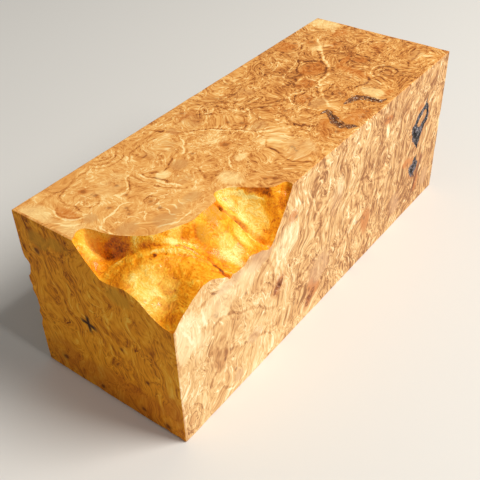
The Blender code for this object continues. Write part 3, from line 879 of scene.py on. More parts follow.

# %% [markdown]
# Knots and patches are ellipses: the place of the middle, two radii, and how strong the mark is, up to one.
# Grey wood is see-through and quiet, orange wood surrounds eyes and bark, and pale wood is plain pale wood,
# except one spot on the side beside the bark, which is a painted glint. On the skin the same three stand for
# tan broken wood, darker amber, which is partly painted shade in the folds and on walls turned away from the
# lamp, and pale honey, which is partly painted light on slopes that the lamp leaves in shade.

# %% Knots
TOP_KNOTS = [
    (19.0, 56.3, 5.2, 5.0, 0.5),
    (32.1, 36.2, 2.6, 2.2, 1.0),
    (44.5, 70.4, 4.6, 3.4, 0.8),
    (151.8, 44.4, 7.2, 6.0, 1.0),
    (127.0, 31.1, 6.6, 6.2, 0.85),
    (138.9, 40.5, 6.4, 5.6, 0.75),
    (138.1, 22.4, 5.4, 5.4, 0.8),
    (170.4, 31.3, 9.0, 6.4, 0.8),
    (167.9, 13.9, 7.4, 6.6, 0.75),
    (187.8, 30.5, 7.6, 6.2, 0.7),
    (166.5, 66.7, 6.4, 4.6, 0.5),
    (144.0, 56.2, 6.4, 5.8, 0.5),
    (126.2, 4.4, 5.4, 5.0, 0.55),
    (116.3, 55.3, 8.0, 7.4, 0.35),
    (88.4, 64.0, 6.0, 4.6, 0.6),
    (83.0, 33.6, 5.0, 4.2, 0.5),
    (66.4, 34.6, 4.6, 4.0, 0.4),
    (186.6, 48.0, 7.0, 5.6, 0.5),
]
SIDE_KNOTS = [(5, 8.5, 5.2, 6.8, 0.9), (69.5, 61.5, 3.6, 3.6, 0.9), (83.8, 12.0, 5.4, 5.0, 0.5)]
print("knots:", len(TOP_KNOTS + SIDE_KNOTS))

# %% Patches
TOP_GREY = [
    (12.6, 46.2, 2.4, 2.8, 0.9), (15.4, 31.4, 4.6, 3, 0.85), (26.2, 24.6, 4.6, 3.4, 0.95),
    (35, 24.6, 4, 3, 0.5), (42.6, 25, 3.8, 3.2, 0.8), (56, 42.8, 4.4, 3.2, 0.7), (49.4, 36, 4, 4, 0.4),
    (60, 56, 10, 7, 0.3), (126, 25, 5.2, 3.2, 0.7), (96, 35, 5, 3, 0.6), (113.6, 56, 7, 6, 0.35),
    (73, 61, 2, 3.6, 0.6), (190, 12, 7, 3.4, 0.5), (153, 14, 5, 5, 0.4), (84, 60, 9, 7, 0.4),
]
TOP_ORANGE = [
    (9.6, 55, 2.4, 5, 1.0), (22.2, 60.4, 2, 1.6, 0.8), (151.6, 44.4, 7, 5.6, 0.85),
    (160.4, 30, 2.4, 6, 0.9), (167, 36.4, 6, 1.6, 0.7), (172, 30, 3, 3, 0.7), (150.6, 4.4, 3.6, 1.4, 1.0),
    (125, 4.6, 8, 4.6, 0.7), (115, 13.6, 3.4, 2.6, 0.8), (109, 11, 3.6, 4, 0.5), (137.6, 38.4, 5, 3.6, 0.6),
    (126, 32, 4.6, 3.6, 0.5), (165, 67, 6.4, 5.6, 0.6), (176, 60, 3, 3, 0.6), (180, 49, 4, 3.4, 0.6),
    (193, 54, 6, 3.6, 0.6), (77, 38, 2.6, 2.2, 0.8), (85, 64.6, 6, 3, 0.5), (73, 60, 1.6, 3, 0.5),
    (111.6, 37, 5, 3, 0.4), (158.6, 22, 3, 4, 0.5), (188, 31, 6, 5, 0.35), (92, 10, 9, 9, 0.45),
    (106, 5, 8, 6, 0.4),
]
TOP_PALE = [
    (147, 10, 3.6, 5.2, 1.0), (142.5, 6.6, 2.6, 1.8, 0.8), (46.6, 43, 3.6, 2.2, 0.8), (60, 21, 4.2, 5, 0.7),
    (31, 56, 9, 6, 0.35), (3, 64, 5, 8, 0.6), (4, 48, 4, 7, 0.5), (73, 26.8, 3, 2, 0.8),
    (78, 43, 6, 6, 0.35), (92, 14, 8, 12, 0.4), (198, 66, 5, 8, 0.8), (192.6, 57.8, 1.2, 1.0, 1.0),
    (174, 55, 6, 3.6, 0.4),
]
SIDE_GREY = [
    (33, 7, 3, 3, 0.8), (44, 20, 5, 3.5, 0.6), (48.7, 56.2, 7.4, 4.4, 0.8), (30, 57, 8, 2.5, 0.7),
    (160, 13, 6, 7, 0.6), (192, 12, 6, 5, 0.6), (90, 22, 10, 8, 0.7), (102, 50, 5.4, 9, 0.4),
]
SIDE_ORANGE = [
    (70, 61.5, 3.4, 3.2, 0.5), (84, 16, 2.6, 4, 0.8), (88, 12, 4, 3, 0.7), (144, 67.6, 4, 1.6, 0.8),
    (130, 22, 4, 8, 0.5), (169, 32, 4, 2, 0.9), (184.4, 25.5, 1.7, 4.4, 0.5), (174, 31, 3, 2.4, 0.5),
    (182.4, 14, 2.4, 6, 0.6), (178, 59, 5, 2, 0.5),
]
# Pale wood; the small full-strength spot at 182, 59 beside the bark is a painted glint
SIDE_PALE_AND_GLINT = [
    (6, 50, 8, 9, 1.0), (66, 52, 8, 8, 0.6), (24, 52, 10, 8, 0.7), (40, 52, 8, 6, 0.5),
    (144.5, 62, 1.2, 3, 1.0), (182, 59, 1.6, 1.2, 1.0), (105, 56, 3, 5, 0.6), (155, 61, 2, 2, 0.7),
    (141.5, 73, 2, 1.5, 0.8), (13, 42, 8, 8, 0.4),
]
END_GREY = [(62, 68, 6, 4, 0.8), (24, 60, 6, 4, 0.8), (52, 70, 6, 3, 0.6)]
END_ORANGE = [(30, 8, 26, 9, 0.8), (60, 10, 12, 10, 0.6), (5, 12, 7, 12, 0.6)]
END_PALE = [(60, 46, 10, 16, 0.35), (36, 58, 8, 6, 0.3)]
SKIN_TAN = [(40.8, 14.6, 3.4, 1.8, 0.8), (44.2, 13.4, 1.6, 1.6, 0.7), (33, 13, 2.6, 2.2, 0.8)]
# Darker amber patches: partly the skin's own colour, partly painted shade in the fold under the ridge and on
# walls turned from the lamp
SKIN_DARK_AND_PAINTED_SHADE = [
    (15.1, 19.7, 0.8, 0.6, 1.0), (9.2, 10.5, 1.6, 3.4, 0.5), (20.6, 13.0, 2.6, 2.0, 0.3),
    (15.6, 14.6, 1.4, 2.0, 0.3), (5.2, 8.5, 1.6, 3.2, 0.45), (1.4, 7.2, 1.6, 2.4, 0.35),
    (3.0, 3.4, 1.8, 3.0, 0.45), (12.8, 15.6, 1.6, 1.2, 0.3), (8.8, 21.4, 1.8, 1.0, 0.25),
    (1.8, 19.8, 1.4, 1.6, 0.3), (66.2, 1.6, 3.0, 2.6, 0.35), (61.4, 4.4, 1.6, 4.6, 0.4),
    (58.4, 10.4, 1.0, 3.6, 0.2), (29.0, 6.0, 1.3, 5.0, 0.4), (31.4, 13.6, 2.2, 2.2, 0.5),
    (26.6, 15.0, 2.0, 1.4, 0.2),
]
# Paler honey patches: partly the skin's own colour, partly painted light on the front lobe and on walls that
# the lamp leaves in shade
SKIN_PALE_AND_PAINTED_LIGHT = [
    (54.0, 9.0, 5.0, 5.0, 0.8), (48.2, 13.6, 2.4, 2.6, 0.5), (55.2, 12.6, 1.8, 3.4, 0.8),
    (57.6, 6.0, 1.6, 3.4, 0.6), (12.4, 9.0, 1.6, 2.6, 0.4), (5.2, 16.4, 2.0, 2.0, 0.4),
    (24.0, 18.0, 4.0, 1.6, 0.5), (6.0, 14.0, 8.0, 9.0, 0.62), (52.4, 17.6, 5.0, 3.0, 1.0),
    (5.4, 40.4, 3.4, 4.6, 0.6), (38.5, 5.6, 4.0, 5.0, 0.7), (46.6, 6.0, 3.0, 4.0, 0.7),
]

print("patches in the top:", len(TOP_GREY + TOP_ORANGE + TOP_PALE))

# %% [markdown]
# The eyes of a burl are dark dots, each given as a place and a radius. The bark is an outline where the saw
# laid it bare, with an island of wood in it, and along the top's seams it is a band.

# %% Dots, and outlines of bark
TOP_DOTS = [
    (22.4, 60.2, 1.3), (23.2, 54.6, 1.0), (32, 52.6, 1.0), (31.8, 35.8, 1.2), (20.6, 45.2, 1.0),
    (24, 40, 0.9), (22, 37, 0.9), (30.8, 30.6, 0.9), (77, 37, 1.5), (66.5, 10.4, 1.1), (90.6, 14.4, 1.0),
    (89, 11.6, 0.9), (29.8, 45.6, 0.9), (64.6, 43.6, 0.9), (86.4, 67.4, 1.2), (85, 57.6, 1.2),
    (91.4, 46.8, 1.2), (94.2, 41.4, 1.4), (93, 57, 1.0), (127, 30.4, 1.1), (123, 29.6, 0.9),
    (112.6, 32.6, 1.1), (120, 38, 1.0), (142.4, 53, 1.2), (143.2, 55.8, 0.9), (149, 44, 1.4),
    (153, 47, 1.3), (156, 44, 1.2), (134.4, 40, 1.1), (137, 36.6, 1.0), (140.4, 38.6, 1.1),
    (142.4, 25.6, 0.9), (138.4, 21.4, 1.6), (153.4, 25.4, 1.0), (174.6, 37.2, 1.2), (172.4, 31.4, 1.2),
    (164, 29.4, 1.3), (180, 49, 1.4), (176, 60, 1.6), (182.6, 66.4, 1.2), (195.4, 31.4, 1.3),
    (183.6, 26.6, 1.2), (110, 6, 1.3), (126, 3, 1.2), (131, 4, 1.1), (165, 63, 1.2), (170, 66, 1.3),
]
SIDE_DOTS = [
    (39, 45.6, 0.8), (31.4, 12, 1.0), (26, 26, 1.4), (25.4, 23, 1.2), (30, 24.6, 1.1), (141.6, 68.6, 1.5),
    (145.6, 67.4, 1.3), (170, 30.6, 1.3), (122, 26, 1.4), (128.6, 24, 1.4), (108, 23, 1.2), (83, 14.6, 1.2),
    (80.6, 56, 1.2), (61.4, 52, 1.0), (57, 58, 1.0), (72, 60, 1.1),
]
END_DOTS = [
    (27, 33.4, 0.9), (16, 22.8, 1.0), (62, 8, 1.6), (42, 3.2, 1.2), (8.4, 3.4, 1.4), (20, 5, 1.4),
    (64, 62, 1.4),
]
SIDE_BARK = [
    [(170.4, 50.2), (173.2, 52), (175.4, 54.8), (179, 56.2), (183, 57.8), (185.8, 56.2), (187.4, 51.6),
     (186.8, 47.6), (183.6, 45.8), (181.8, 42.6), (180, 38.4), (178.6, 35.2), (176.8, 38.6), (173.4, 41.6),
     (171.4, 46)],
    [(171.2, 27.4), (175, 28.2), (177.6, 31), (179.6, 29), (182, 25.6), (180.4, 22.6), (178, 20.6),
     (176.2, 19.6), (174, 22.4)],
    [(56.4, 31.0), (57.4, 34.4), (59.8, 36.8), (63, 37.6), (63.8, 35.4), (61.8, 32.2), (58.8, 30)],
    [(80.4, 6), (80.8, 9.4), (82.6, 11.8), (86.6, 13.4), (88, 11.6), (85.6, 9.4), (84, 7.2), (82.2, 5.6)],
]
WOOD_IN_BARK = [
    (176, 49.6), (177.4, 51.8), (180.6, 53.6), (183.4, 55), (185.2, 53.6), (184.6, 50.6), (181.4, 49.4),
    (179.4, 47.8), (177.2, 48),
]
# Half width of the bark on the top, in half widths of its seam
TOP_BARK_SPREAD = 1.8
print("dots:", len(TOP_DOTS + SIDE_DOTS + END_DOTS), "and outlines of bark:", len(SIDE_BARK))

# %% The marks of each face
PATCHES = ("grey", "orange", "pale")
NO_MARKS = {kind: [] for kind in ("cream", "brown", "stroke", "knots", "dots", *PATCHES)}
FACES = {
    "top": NO_MARKS | {
        "cream": TOP_CREAM, "brown": TOP_BROWN, "knots": TOP_KNOTS, "grey": TOP_GREY, "orange": TOP_ORANGE,
        "pale": TOP_PALE, "dots": TOP_DOTS,
    },
    "side": NO_MARKS | {
        "cream": SIDE_CREAM, "brown": SIDE_BROWN, "stroke": SIDE_RUST, "knots": SIDE_KNOTS, "grey": SIDE_GREY,
        "orange": SIDE_ORANGE, "pale": SIDE_PALE_AND_GLINT, "dots": SIDE_DOTS,
    },
    "end": NO_MARKS | {
        "cream": END_CREAM, "brown": END_BROWN, "stroke": END_INK, "grey": END_GREY, "orange": END_ORANGE,
        "pale": END_PALE, "dots": END_DOTS,
    },
    "skin": NO_MARKS | {
        "cream": SKIN_CREAM, "brown": SKIN_BROWN_AND_CREASE_SHADE, "grey": SKIN_TAN, "orange": SKIN_DARK_AND_PAINTED_SHADE, "pale": SKIN_PALE_AND_PAINTED_LIGHT,
    },
}
for face, marks in FACES.items():
    print(face, {kind: len(places) for kind, places in marks.items() if places})

# %% [markdown]
# ## Distances instead of a picture
#
# A line finer than the mesh can't be drawn by colouring vertices. A distance can, because it changes evenly
# across each face: every vertex keeps its signed distance from the nearest line, and the material draws the
# line where that distance is small. Between two lines the nearest one changes, which would leave a crease,
# so the lines are dealt into sets whose lines lie well apart, and each set has a distance of its own.

# %% Distances from lines and dots
# How many sets each kind of line is dealt into
LINE_SETS = {"cream": 3, "brown": 4, "stroke": 2}
FAR_AWAY = 8.0
# How far from a line its distance is kept, and from a dot, in its radii, each with the width of its fade
LINE_REACH, LINE_FADE = 3.4, 0.8
DOT_REACH, DOT_FADE = 2.4, 0.6
NO_LINE = (FAR_AWAY, 0.4, 0.0)
NO_DOT = (FAR_AWAY, FAR_AWAY, 0.0)


def dealt_out(lines, sets):
    """Gives each line, as half width and curve, to the set whose lines lie farthest from it."""
    dealt = [[] for _ in range(sets)]
    for half_width, marks in lines:
        curve = smooth_curve(marks)
        room = [
            min((np.linalg.norm(curve[:, None] - other, axis=2).min() for _, other in group), default=1e9)
            for group in dealt
        ]
        dealt[int(np.argmax(room))].append((half_width, curve))
    return dealt


def nearest_line(first, second, lines):
    """Rows of signed distance to the nearest line, its half width, and a strength that fades at its ends."""
    rows = np.tile(NO_LINE, (len(first), 1))
    for half_width, curve in lines:
        gap, side, share = curve_distance(first, second, curve)
        strength = end_fade(share, 7.0) * np.clip((LINE_REACH - gap) / LINE_FADE, 0.0, 1.0)
        line = np.column_stack([gap * side, np.full(gap.shape, half_width), strength])
        rows = np.where((gap < np.abs(rows[:, 0]))[:, None], line, rows)
    return rows


def nearest_dot(first, second, dots):
    """Rows of the way from the nearest dot, in its radii, and a strength that ends a few radii out."""
    rows = np.tile(NO_DOT, (len(first), 1))
    for a, b, radius in dots:
        way = np.column_stack([(first - a) / radius, (second - b) / radius])
        out = np.hypot(*way.T)
        strength = np.clip((DOT_REACH - out) / DOT_FADE, 0.0, 1.0)
        closer = out < np.hypot(*rows[:, :2].T)
        rows = np.where(closer[:, None], np.column_stack([way, strength]), rows)
    return rows


sizes = [len(group) for group in dealt_out(TOP_CREAM, LINE_SETS["cream"])]
print("cream veins of the top in each set:", sizes)


# %% Knots, patches and the bark's outline
def nearest_ring(first, second, knots):
    """How many radii out of the nearest knot's middle each place lies, and that knot's strength."""
    ring, strength = np.full(first.shape, FAR_AWAY), np.zeros(first.shape)
    for a, b, long_radius, short_radius, strong in knots:
        here = np.hypot((first - a) / long_radius, (second - b) / short_radius)
        strength = np.where(here < ring, strong, strength)
        ring = np.minimum(ring, here)
    return ring, strength


def spots_mask(first, second, spots):
    """The strongest spot: its strength times a smooth fall from 0.5 to 1.5 of its radii."""
    mask = np.zeros(first.shape)
    for a, b, long_radius, short_radius, strong in spots:
        out = np.hypot((first - a) / long_radius, (second - b) / short_radius)
        fall = np.clip(1.5 - out, 0.0, 1.0)
        mask = np.maximum(mask, strong * fall * fall * (3 - 2 * fall))
    return mask


def depth_inside(first, second, outline):
    """Distance to a closed outline, above zero inside it and below zero outside."""
    curve = smooth_curve([*outline, outline[0]], 6)
    gap, _, _ = curve_distance(first, second, curve)
    return np.where(inside_ring(first, second, curve), gap, -gap)


def bark_depth(face, first, second):
    """How far inside the bark a place lies: the outlines less the island, and a band along each top seam."""
    if face == "side":
        bark = np.max([depth_inside(first, second, outline) for outline in SIDE_BARK], axis=0)
        return np.minimum(bark, -depth_inside(first, second, WOOD_IN_BARK))
    bark = np.full(first.shape, -FAR_AWAY)
    for marks in TOP_SEAMS.values() if face == "top" else ():
        curve = smooth_curve(marks, 6)
        gap, _, share = curve_distance(first, second, curve)
        half = np.interp(share, np.linspace(0, 1, len(curve)), curve[:, 2])
        bark = np.maximum(bark, TOP_BARK_SPREAD * half - gap)
    return bark


island = np.array(WOOD_IN_BARK).mean(axis=0)[:, None]
print("depth in bark at the island's middle, below zero in wood:", np.round(bark_depth("side", *island), 2))


# %% Reading the mesh
def read(rows, name, width=1, kind=np.int32):
    """One property of every vertex, edge, corner or face of a mesh, as an array."""
    values = np.empty(len(rows) * width, kind)
    rows.foreach_get(name, values)
    return values.reshape(-1, width) if width > 1 else values


def vertices_of(mesh, finish):
    """True for every vertex that a face of this finish uses."""
    of_finish = read(mesh.polygons, "material_index") == FINISHES.index(finish)
    corners = np.repeat(of_finish, read(mesh.polygons, "loop_total"))
    used = np.zeros(len(mesh.vertices), bool)
    used[read(mesh.loops, "vertex_index")[corners]] = True
    return used


along, across, height = (read(cut_mesh.vertices, "co", 3, float) / MM + (LENGTH / 2, WIDTH / 2, 0.0)).T
on_skin = vertices_of(cut_mesh, "amber_skin")
print("vertices:", len(along), "of which on the skin:", int(on_skin.sum()))

# %% Marks kept by every vertex
# A vertex this close below a sawn face belongs to it, so that the eased edges and the seams' lips do too
FACE_DEPTH = 0.9
BARK_LIMIT = 4.0
face_tests = {
    "top": (height > HEIGHT - FACE_DEPTH, along, across),
    "side": (across < FACE_DEPTH, along, height),
    "end": (along < FACE_DEPTH, across, height),
    "skin": (on_skin, along, across),
}
count = len(along)
kept = {name: np.zeros(count) for name in ("knot_on", *PATCHES)}
kept |= {"knot_ring": np.full(count, FAR_AWAY), "bark_in": np.full(count, -FAR_AWAY)}
kept["dots"] = np.tile(NO_DOT, (count, 1))
for kind, sets in LINE_SETS.items():
    kept |= {f"{kind}_{number}": np.tile(NO_LINE, (count, 1)) for number in range(sets)}
for face, (here, first, second) in face_tests.items():
    marks, first, second = FACES[face], first[here], second[here]
    for kind, sets in LINE_SETS.items():
        for number, lines in enumerate(dealt_out(marks[kind], sets)):
            kept[f"{kind}_{number}"][here] = nearest_line(first, second, lines)
    kept["dots"][here] = nearest_dot(first, second, marks["dots"])
    kept["knot_ring"][here], kept["knot_on"][here] = nearest_ring(first, second, marks["knots"])
    kept["bark_in"][here] = np.clip(bark_depth(face, first, second), -BARK_LIMIT, BARK_LIMIT)
    for name in PATCHES:
        kept[name][here] = spots_mask(first, second, marks[name])
print("vertices of each face:", {face: int(here.sum()) for face, (here, _, _) in face_tests.items()})

# %% [markdown]
# The skin's colour also follows its shape: paler on the ridges and darker in the folds, which is painted
# shade.
# So each place on the skin keeps how far it lies below the average of a ring around it.

# %% Hollows of the skin, and everything onto the mesh
RING_REACH, RING_STEPS = 2.4, 8
RELIEF_LIMIT = 3.0


def relief(along, across):
    """Depth here minus the mean depth on a ring around it: above zero in a valley, below zero on a ridge."""
    ring = np.zeros(along.shape)
    for turn in np.linspace(0.0, 2 * np.pi, RING_STEPS, endpoint=False):
        ring += skin_depth(along + RING_REACH * np.cos(turn), across + RING_REACH * np.sin(turn))
    return skin_depth(along, across) - ring / RING_STEPS


def keep_on_vertices(mesh, name, values):
    """Stores one number, or three, for each vertex under a name that the materials read."""
    values = np.asarray(values, np.float32)
    if values.ndim == 2:
        mesh.attributes.new(name, "FLOAT_VECTOR", "POINT").data.foreach_set("vector", values.ravel())
    else:
        mesh.attributes.new(name, "FLOAT", "POINT").data.foreach_set("value", values)


kept["hollow"] = np.zeros(count)
kept["hollow"][on_skin] = np.clip(relief(along[on_skin], across[on_skin]), -RELIEF_LIMIT, RELIEF_LIMIT)
for name, values in kept.items():
    keep_on_vertices(cut_mesh, name, values)
print("kept on the vertices:", ", ".join(kept))

# %% [markdown]
# ## A small language for nodes
#
# Materials are trees of nodes, and long ones are hard to read when each node takes five lines. This helper
# adds one node for each call and hands back its output, so a chain of nodes reads like a formula.

# %% Wiring
X_AXIS, Z_AXIS = (1.0, 0.0, 0.0), (0.0, 0.0, 1.0)


class Wiring:
    """Adds nodes to one tree; an input may be a number, a tuple or another node's output."""

    def __init__(self, tree):
        self.tree = tree

    def fill(self, node, inputs):
        """Links or sets each named input, and gives the node's outputs."""
        for socket, value in inputs.items():
            if isinstance(value, bpy.types.NodeSocket):
                self.tree.links.new(value, node.inputs[socket])
            else:
                node.inputs[socket].default_value = value
        return node.outputs

    def add(self, kind, inputs, output=0, **settings):
        """One new node, and the output that is asked for."""
        node = self.tree.nodes.new("ShaderNode" + kind)
        for name, value in settings.items():
            setattr(node, name, value)
        return self.fill(node, inputs)[output]

    def math(self, operation, *values):
        """A Math node, for numbers."""
        return self.add("Math", dict(enumerate(values)), operation=operation)

    def vector(self, operation, *values, output=0):
        """A Vector Math node, for rows of three numbers."""
        return self.add("VectorMath", dict(enumerate(values)), output, operation=operation)

    def scaled(self, row, amount):
        """Three numbers times one number."""
        return self.add("VectorMath", {0: row, "Scale": amount}, operation="SCALE")

    def reach(self, place, axis):
        """How far a place lies along an axis."""
        return self.vector("DOT_PRODUCT", place, axis, output="Value")

    def span(self, value, low, high, start=0.0, end=1.0):
        """Smoothstep of the value between low and high, from start to end."""
        ends = {"Value": value, "From Min": low, "From Max": high, "To Min": start, "To Max": end}
        return self.add("MapRange", ends, interpolation_type="SMOOTHSTEP")

    def blend(self, share, first, second):
        """A colour between two colours."""
        return self.add("Mix", {0: share, 6: first, 7: second}, 2, data_type="RGBA")

    def summed(self, start, shares, outputs):
        """Start, plus every named output times its share."""
        for name, share in shares.items():
            start = self.math("MULTIPLY_ADD", outputs[name], share, start)
        return start

    def largest(self, values):
        """The largest of several outputs."""
        largest, *others = values
        for other in others:
            largest = self.math("MAXIMUM", largest, other)
        return largest

    def ramp(self, value, stops):
        """A colour that runs through the stops, spaced evenly from 0 to 1."""
        node = self.tree.nodes.new("ShaderNodeValToRGB")
        node.color_ramp.elements.remove(node.color_ramp.elements[-1])
        node.color_ramp.elements[0].color = stops[0]
        for place, colour in zip(np.linspace(0, 1, len(stops))[1:], stops[1:]):
            node.color_ramp.elements.new(place).color = colour
        return self.fill(node, {0: value})[0]

    def noise(self, place, size, detail=2.0, rough=0.5, output=0):
        """Noise whose features are about size millimetres across; output 1 is its colour."""
        inputs = {"Vector": place, "Scale": 1 / size, "Detail": detail, "Roughness": rough}
        return self.add("TexNoise", inputs, output)

    def place(self):
        """The place on the object, in millimetres."""
        metres = self.add("TexCoord", {}, "Object")
        return self.add("Mapping", {"Vector": metres, "Scale": (1 / MM, 1 / MM, 1 / MM)})

    def kept(self, name, output="Fac"):
        """A number, or three, kept on the vertices."""
        return self.add("Attribute", {}, output, attribute_name=name)

    def group(self, tree, inputs):
        """The outputs of a node group, by name."""
        node = self.tree.nodes.new("ShaderNodeGroup")
        node.node_tree = tree
        return self.fill(node, inputs)


print("a wiring can add:", ", ".join(name for name in vars(Wiring) if not name.startswith("_")))


# %% Empty trees, and colours
def new_group(name, inputs, outputs, kind="NodeSocketFloat"):
    """An empty node group with number inputs and outputs of one kind; gives its wiring and both ends."""
    tree = bpy.data.node_groups.new(name, "ShaderNodeTree")
    for socket, value in inputs.items():
        tree.interface.new_socket(socket, in_out="INPUT", socket_type="NodeSocketFloat").default_value = value
    for socket in outputs:
        tree.interface.new_socket(socket, in_out="OUTPUT", socket_type=kind)
    return Wiring(tree), tree.nodes.new("NodeGroupInput").outputs, tree.nodes.new("NodeGroupOutput").inputs


def plain_tree(name):
    """An empty tree of a material, with its shader and output in place."""
    material = bpy.data.materials[name]
    material.use_nodes = True
    tree = material.node_tree
    tree.nodes.clear()
    shader = tree.nodes.new("ShaderNodeBsdfPrincipled")
    tree.links.new(shader.outputs[0], tree.nodes.new("ShaderNodeOutputMaterial").inputs["Surface"])
    return Wiring(tree), shader


def paint(red, green, blue):
    """A colour as seen on a screen, 0 to 255, turned into the linear values that materials use."""
    shares = np.array([red, green, blue]) / 255
    linear = np.where(shares <= 0.04045, shares / 12.92, ((shares + 0.055) / 1.055) ** 2.4)
    return (*linear.tolist(), 1.0)


def paints(*colours):
    """Several colours, as stops from dark to pale."""
    return [paint(*colour) for colour in colours]


print("middle grey is", np.round(paint(128, 128, 128), 3))

# %% [markdown]
# ## The crowded figure
#
# Burl wood is a mass of small buds, and the fibres flow round them as water flows round stones. The group
# below turns space so that one axis follows the growth, squeezes that axis so that shapes grow long along
# it, and then bends the whole space with noise three times, from broad to tight. Noise in that bent space
# gives tone, mottle and fibres, and its contour lines are the growth lines: closed swirls where the saw
# crossed the growth, and streaks where it ran along it.

# %% Node group: figure in space
GROWTH = Vector((0.15, 0.2, 0.97)).normalized()
GROWTH_TURN = GROWTH.rotation_difference(Vector((0, 0, 1))).to_euler()
SQUEEZE = 0.24
# Size and reach of the bends before and after the squeeze, in millimetres
WAVES = ((20.0, 20.0), (7.0, 4.0))
BENDS = ((24.0, 18.0), (8.0, 7.0), (3.0, 2.4))
# Size in millimetres, detail and roughness of three noises, and of the two hills whose contours are drawn
TONE, MOTTLE, FIBRES = (17.0, 3.0, 0.6), (4.0, 2.0, 0.6), (1.15, 2.0, 0.65)
HILL, FINE_HILL = (12.0, 2.0, 0.45), (5.0, 2.0, 0.5)
CONTOURS, FINE_CONTOURS = 12.0, 8.0
# Size of each field of cream threads, its number of contours, and where the first one lies
THREADS = ((10.0, 6.0, 0.21), (5.0, 4.0, 0.4))


def build_figure():
    """Tone, mottle and fibres as noise, and lines, edges, threads and pores as narrow bands of noise."""
    outputs = ["Tone", "Mottle", "Fibres", "Lines", "Edges", "Fine Lines", "Cream", "Pores"]
    wire, given, out = new_group("burl_figure", {"Swirl": 1.0, "Line Width": 1.0}, outputs)
    link = wire.tree.links.new
    grown = wire.add("Mapping", {"Vector": wire.place(), "Rotation": GROWTH_TURN})

    def bend(place, size, reach):
        """Every place is pushed by the three numbers of a noise colour, times the reach."""
        push = wire.vector("SUBTRACT", wire.noise(place, size, 1.0, output=1), (0.5, 0.5, 0.5))
        amount = wire.math("MULTIPLY", given["Swirl"], reach)
        return wire.vector("ADD", place, wire.scaled(push, amount))

    for size, reach in WAVES:
        grown = bend(grown, size, reach)
    broad = bend(wire.vector("MULTIPLY", grown, (1.0, 1.0, SQUEEZE)), *BENDS[0])
    close = bend(broad, *BENDS[1])
    tight = bend(close, *BENDS[2])
    link(wire.noise(broad, *TONE), out["Tone"])
    link(wire.noise(close, *MOTTLE), out["Mottle"])
    link(wire.noise(tight, *FIBRES), out["Fibres"])
    # Growth lines: contours of a hill, dark on one side and pale on the other, and absent in places
    patchy = wire.span(wire.noise(broad, 9.0, 1.0), 0.4, 0.6)
    wave = wire.math("FRACT", wire.math("MULTIPLY", wire.noise(close, *HILL), CONTOURS))
    dark = wire.span(wave, wire.math("MULTIPLY", given["Line Width"], 0.15), 0.0)
    link(wire.math("MULTIPLY", dark, patchy), out["Lines"])
    link(wire.math("MULTIPLY", wire.span(wave, 0.82, 0.97), patchy), out["Edges"])
    # Finer growth lines between them
    wave = wire.math("FRACT", wire.math("MULTIPLY", wire.noise(tight, *FINE_HILL), FINE_CONTOURS))
    often = wire.span(wire.noise(close, 6.0, 1.0), 0.38, 0.62)
    link(wire.math("MULTIPLY", wire.span(wave, 0.24, 0.0), often), out["Fine Lines"])
    # Cream threads: contours of two more fields, seldom
    threads = []
    for size, count, off in THREADS:
        field = wire.math("MULTIPLY_ADD", wire.noise(tight, size, 1.0, 0.4), count, off)
        threads.append(wire.span(wire.math("PINGPONG", field, 0.5), 0.055, 0.0))
    seldom = wire.span(wire.noise(close, 7.0, 1.0), 0.46, 0.6)
    link(wire.math("MULTIPLY", wire.largest(threads), seldom), out["Cream"])
    # Pores: only the peaks of the finest noise, in some places
    few = wire.span(wire.noise(broad, 8.0, 1.0), 0.48, 0.6)
    link(wire.math("MULTIPLY", wire.span(wire.noise(tight, 1.5, 0.0), 0.69, 0.77), few), out["Pores"])
    return wire.tree


figure_group = build_figure()
print("figure group:", len(figure_group.nodes), "nodes")

# %% [markdown]
# ## Measured marks as masks
#
# The distances kept on the vertices are smooth and a little too perfect. This group bends them with noise
# before it draws the lines, so that a vein swells, thins and trembles. It also draws the rings round the
# knots, the dark dots with their warm surrounds, and the ragged outline of the bark.

# %% Node group: measured marks
LINE_WAVER = {"cream": 1.0, "brown": 1.0, "stroke": 0.2}
# Reach in millimetres of the slow and the quick noise on lines, rings, dots and the bark's outline
LINE_BEND = {"slow": 2.6, "quick": 1.2}
RING_BEND = {"slow": 0.9, "quick": 0.3}
DOT_BEND = {"slow": 0.8, "quick": 1.2}
BARK_BEND = {"slow": 1.6, "quick": 2.2}
PATCH_BEND = 1.1
RINGS_PER_RADIUS = 2.8


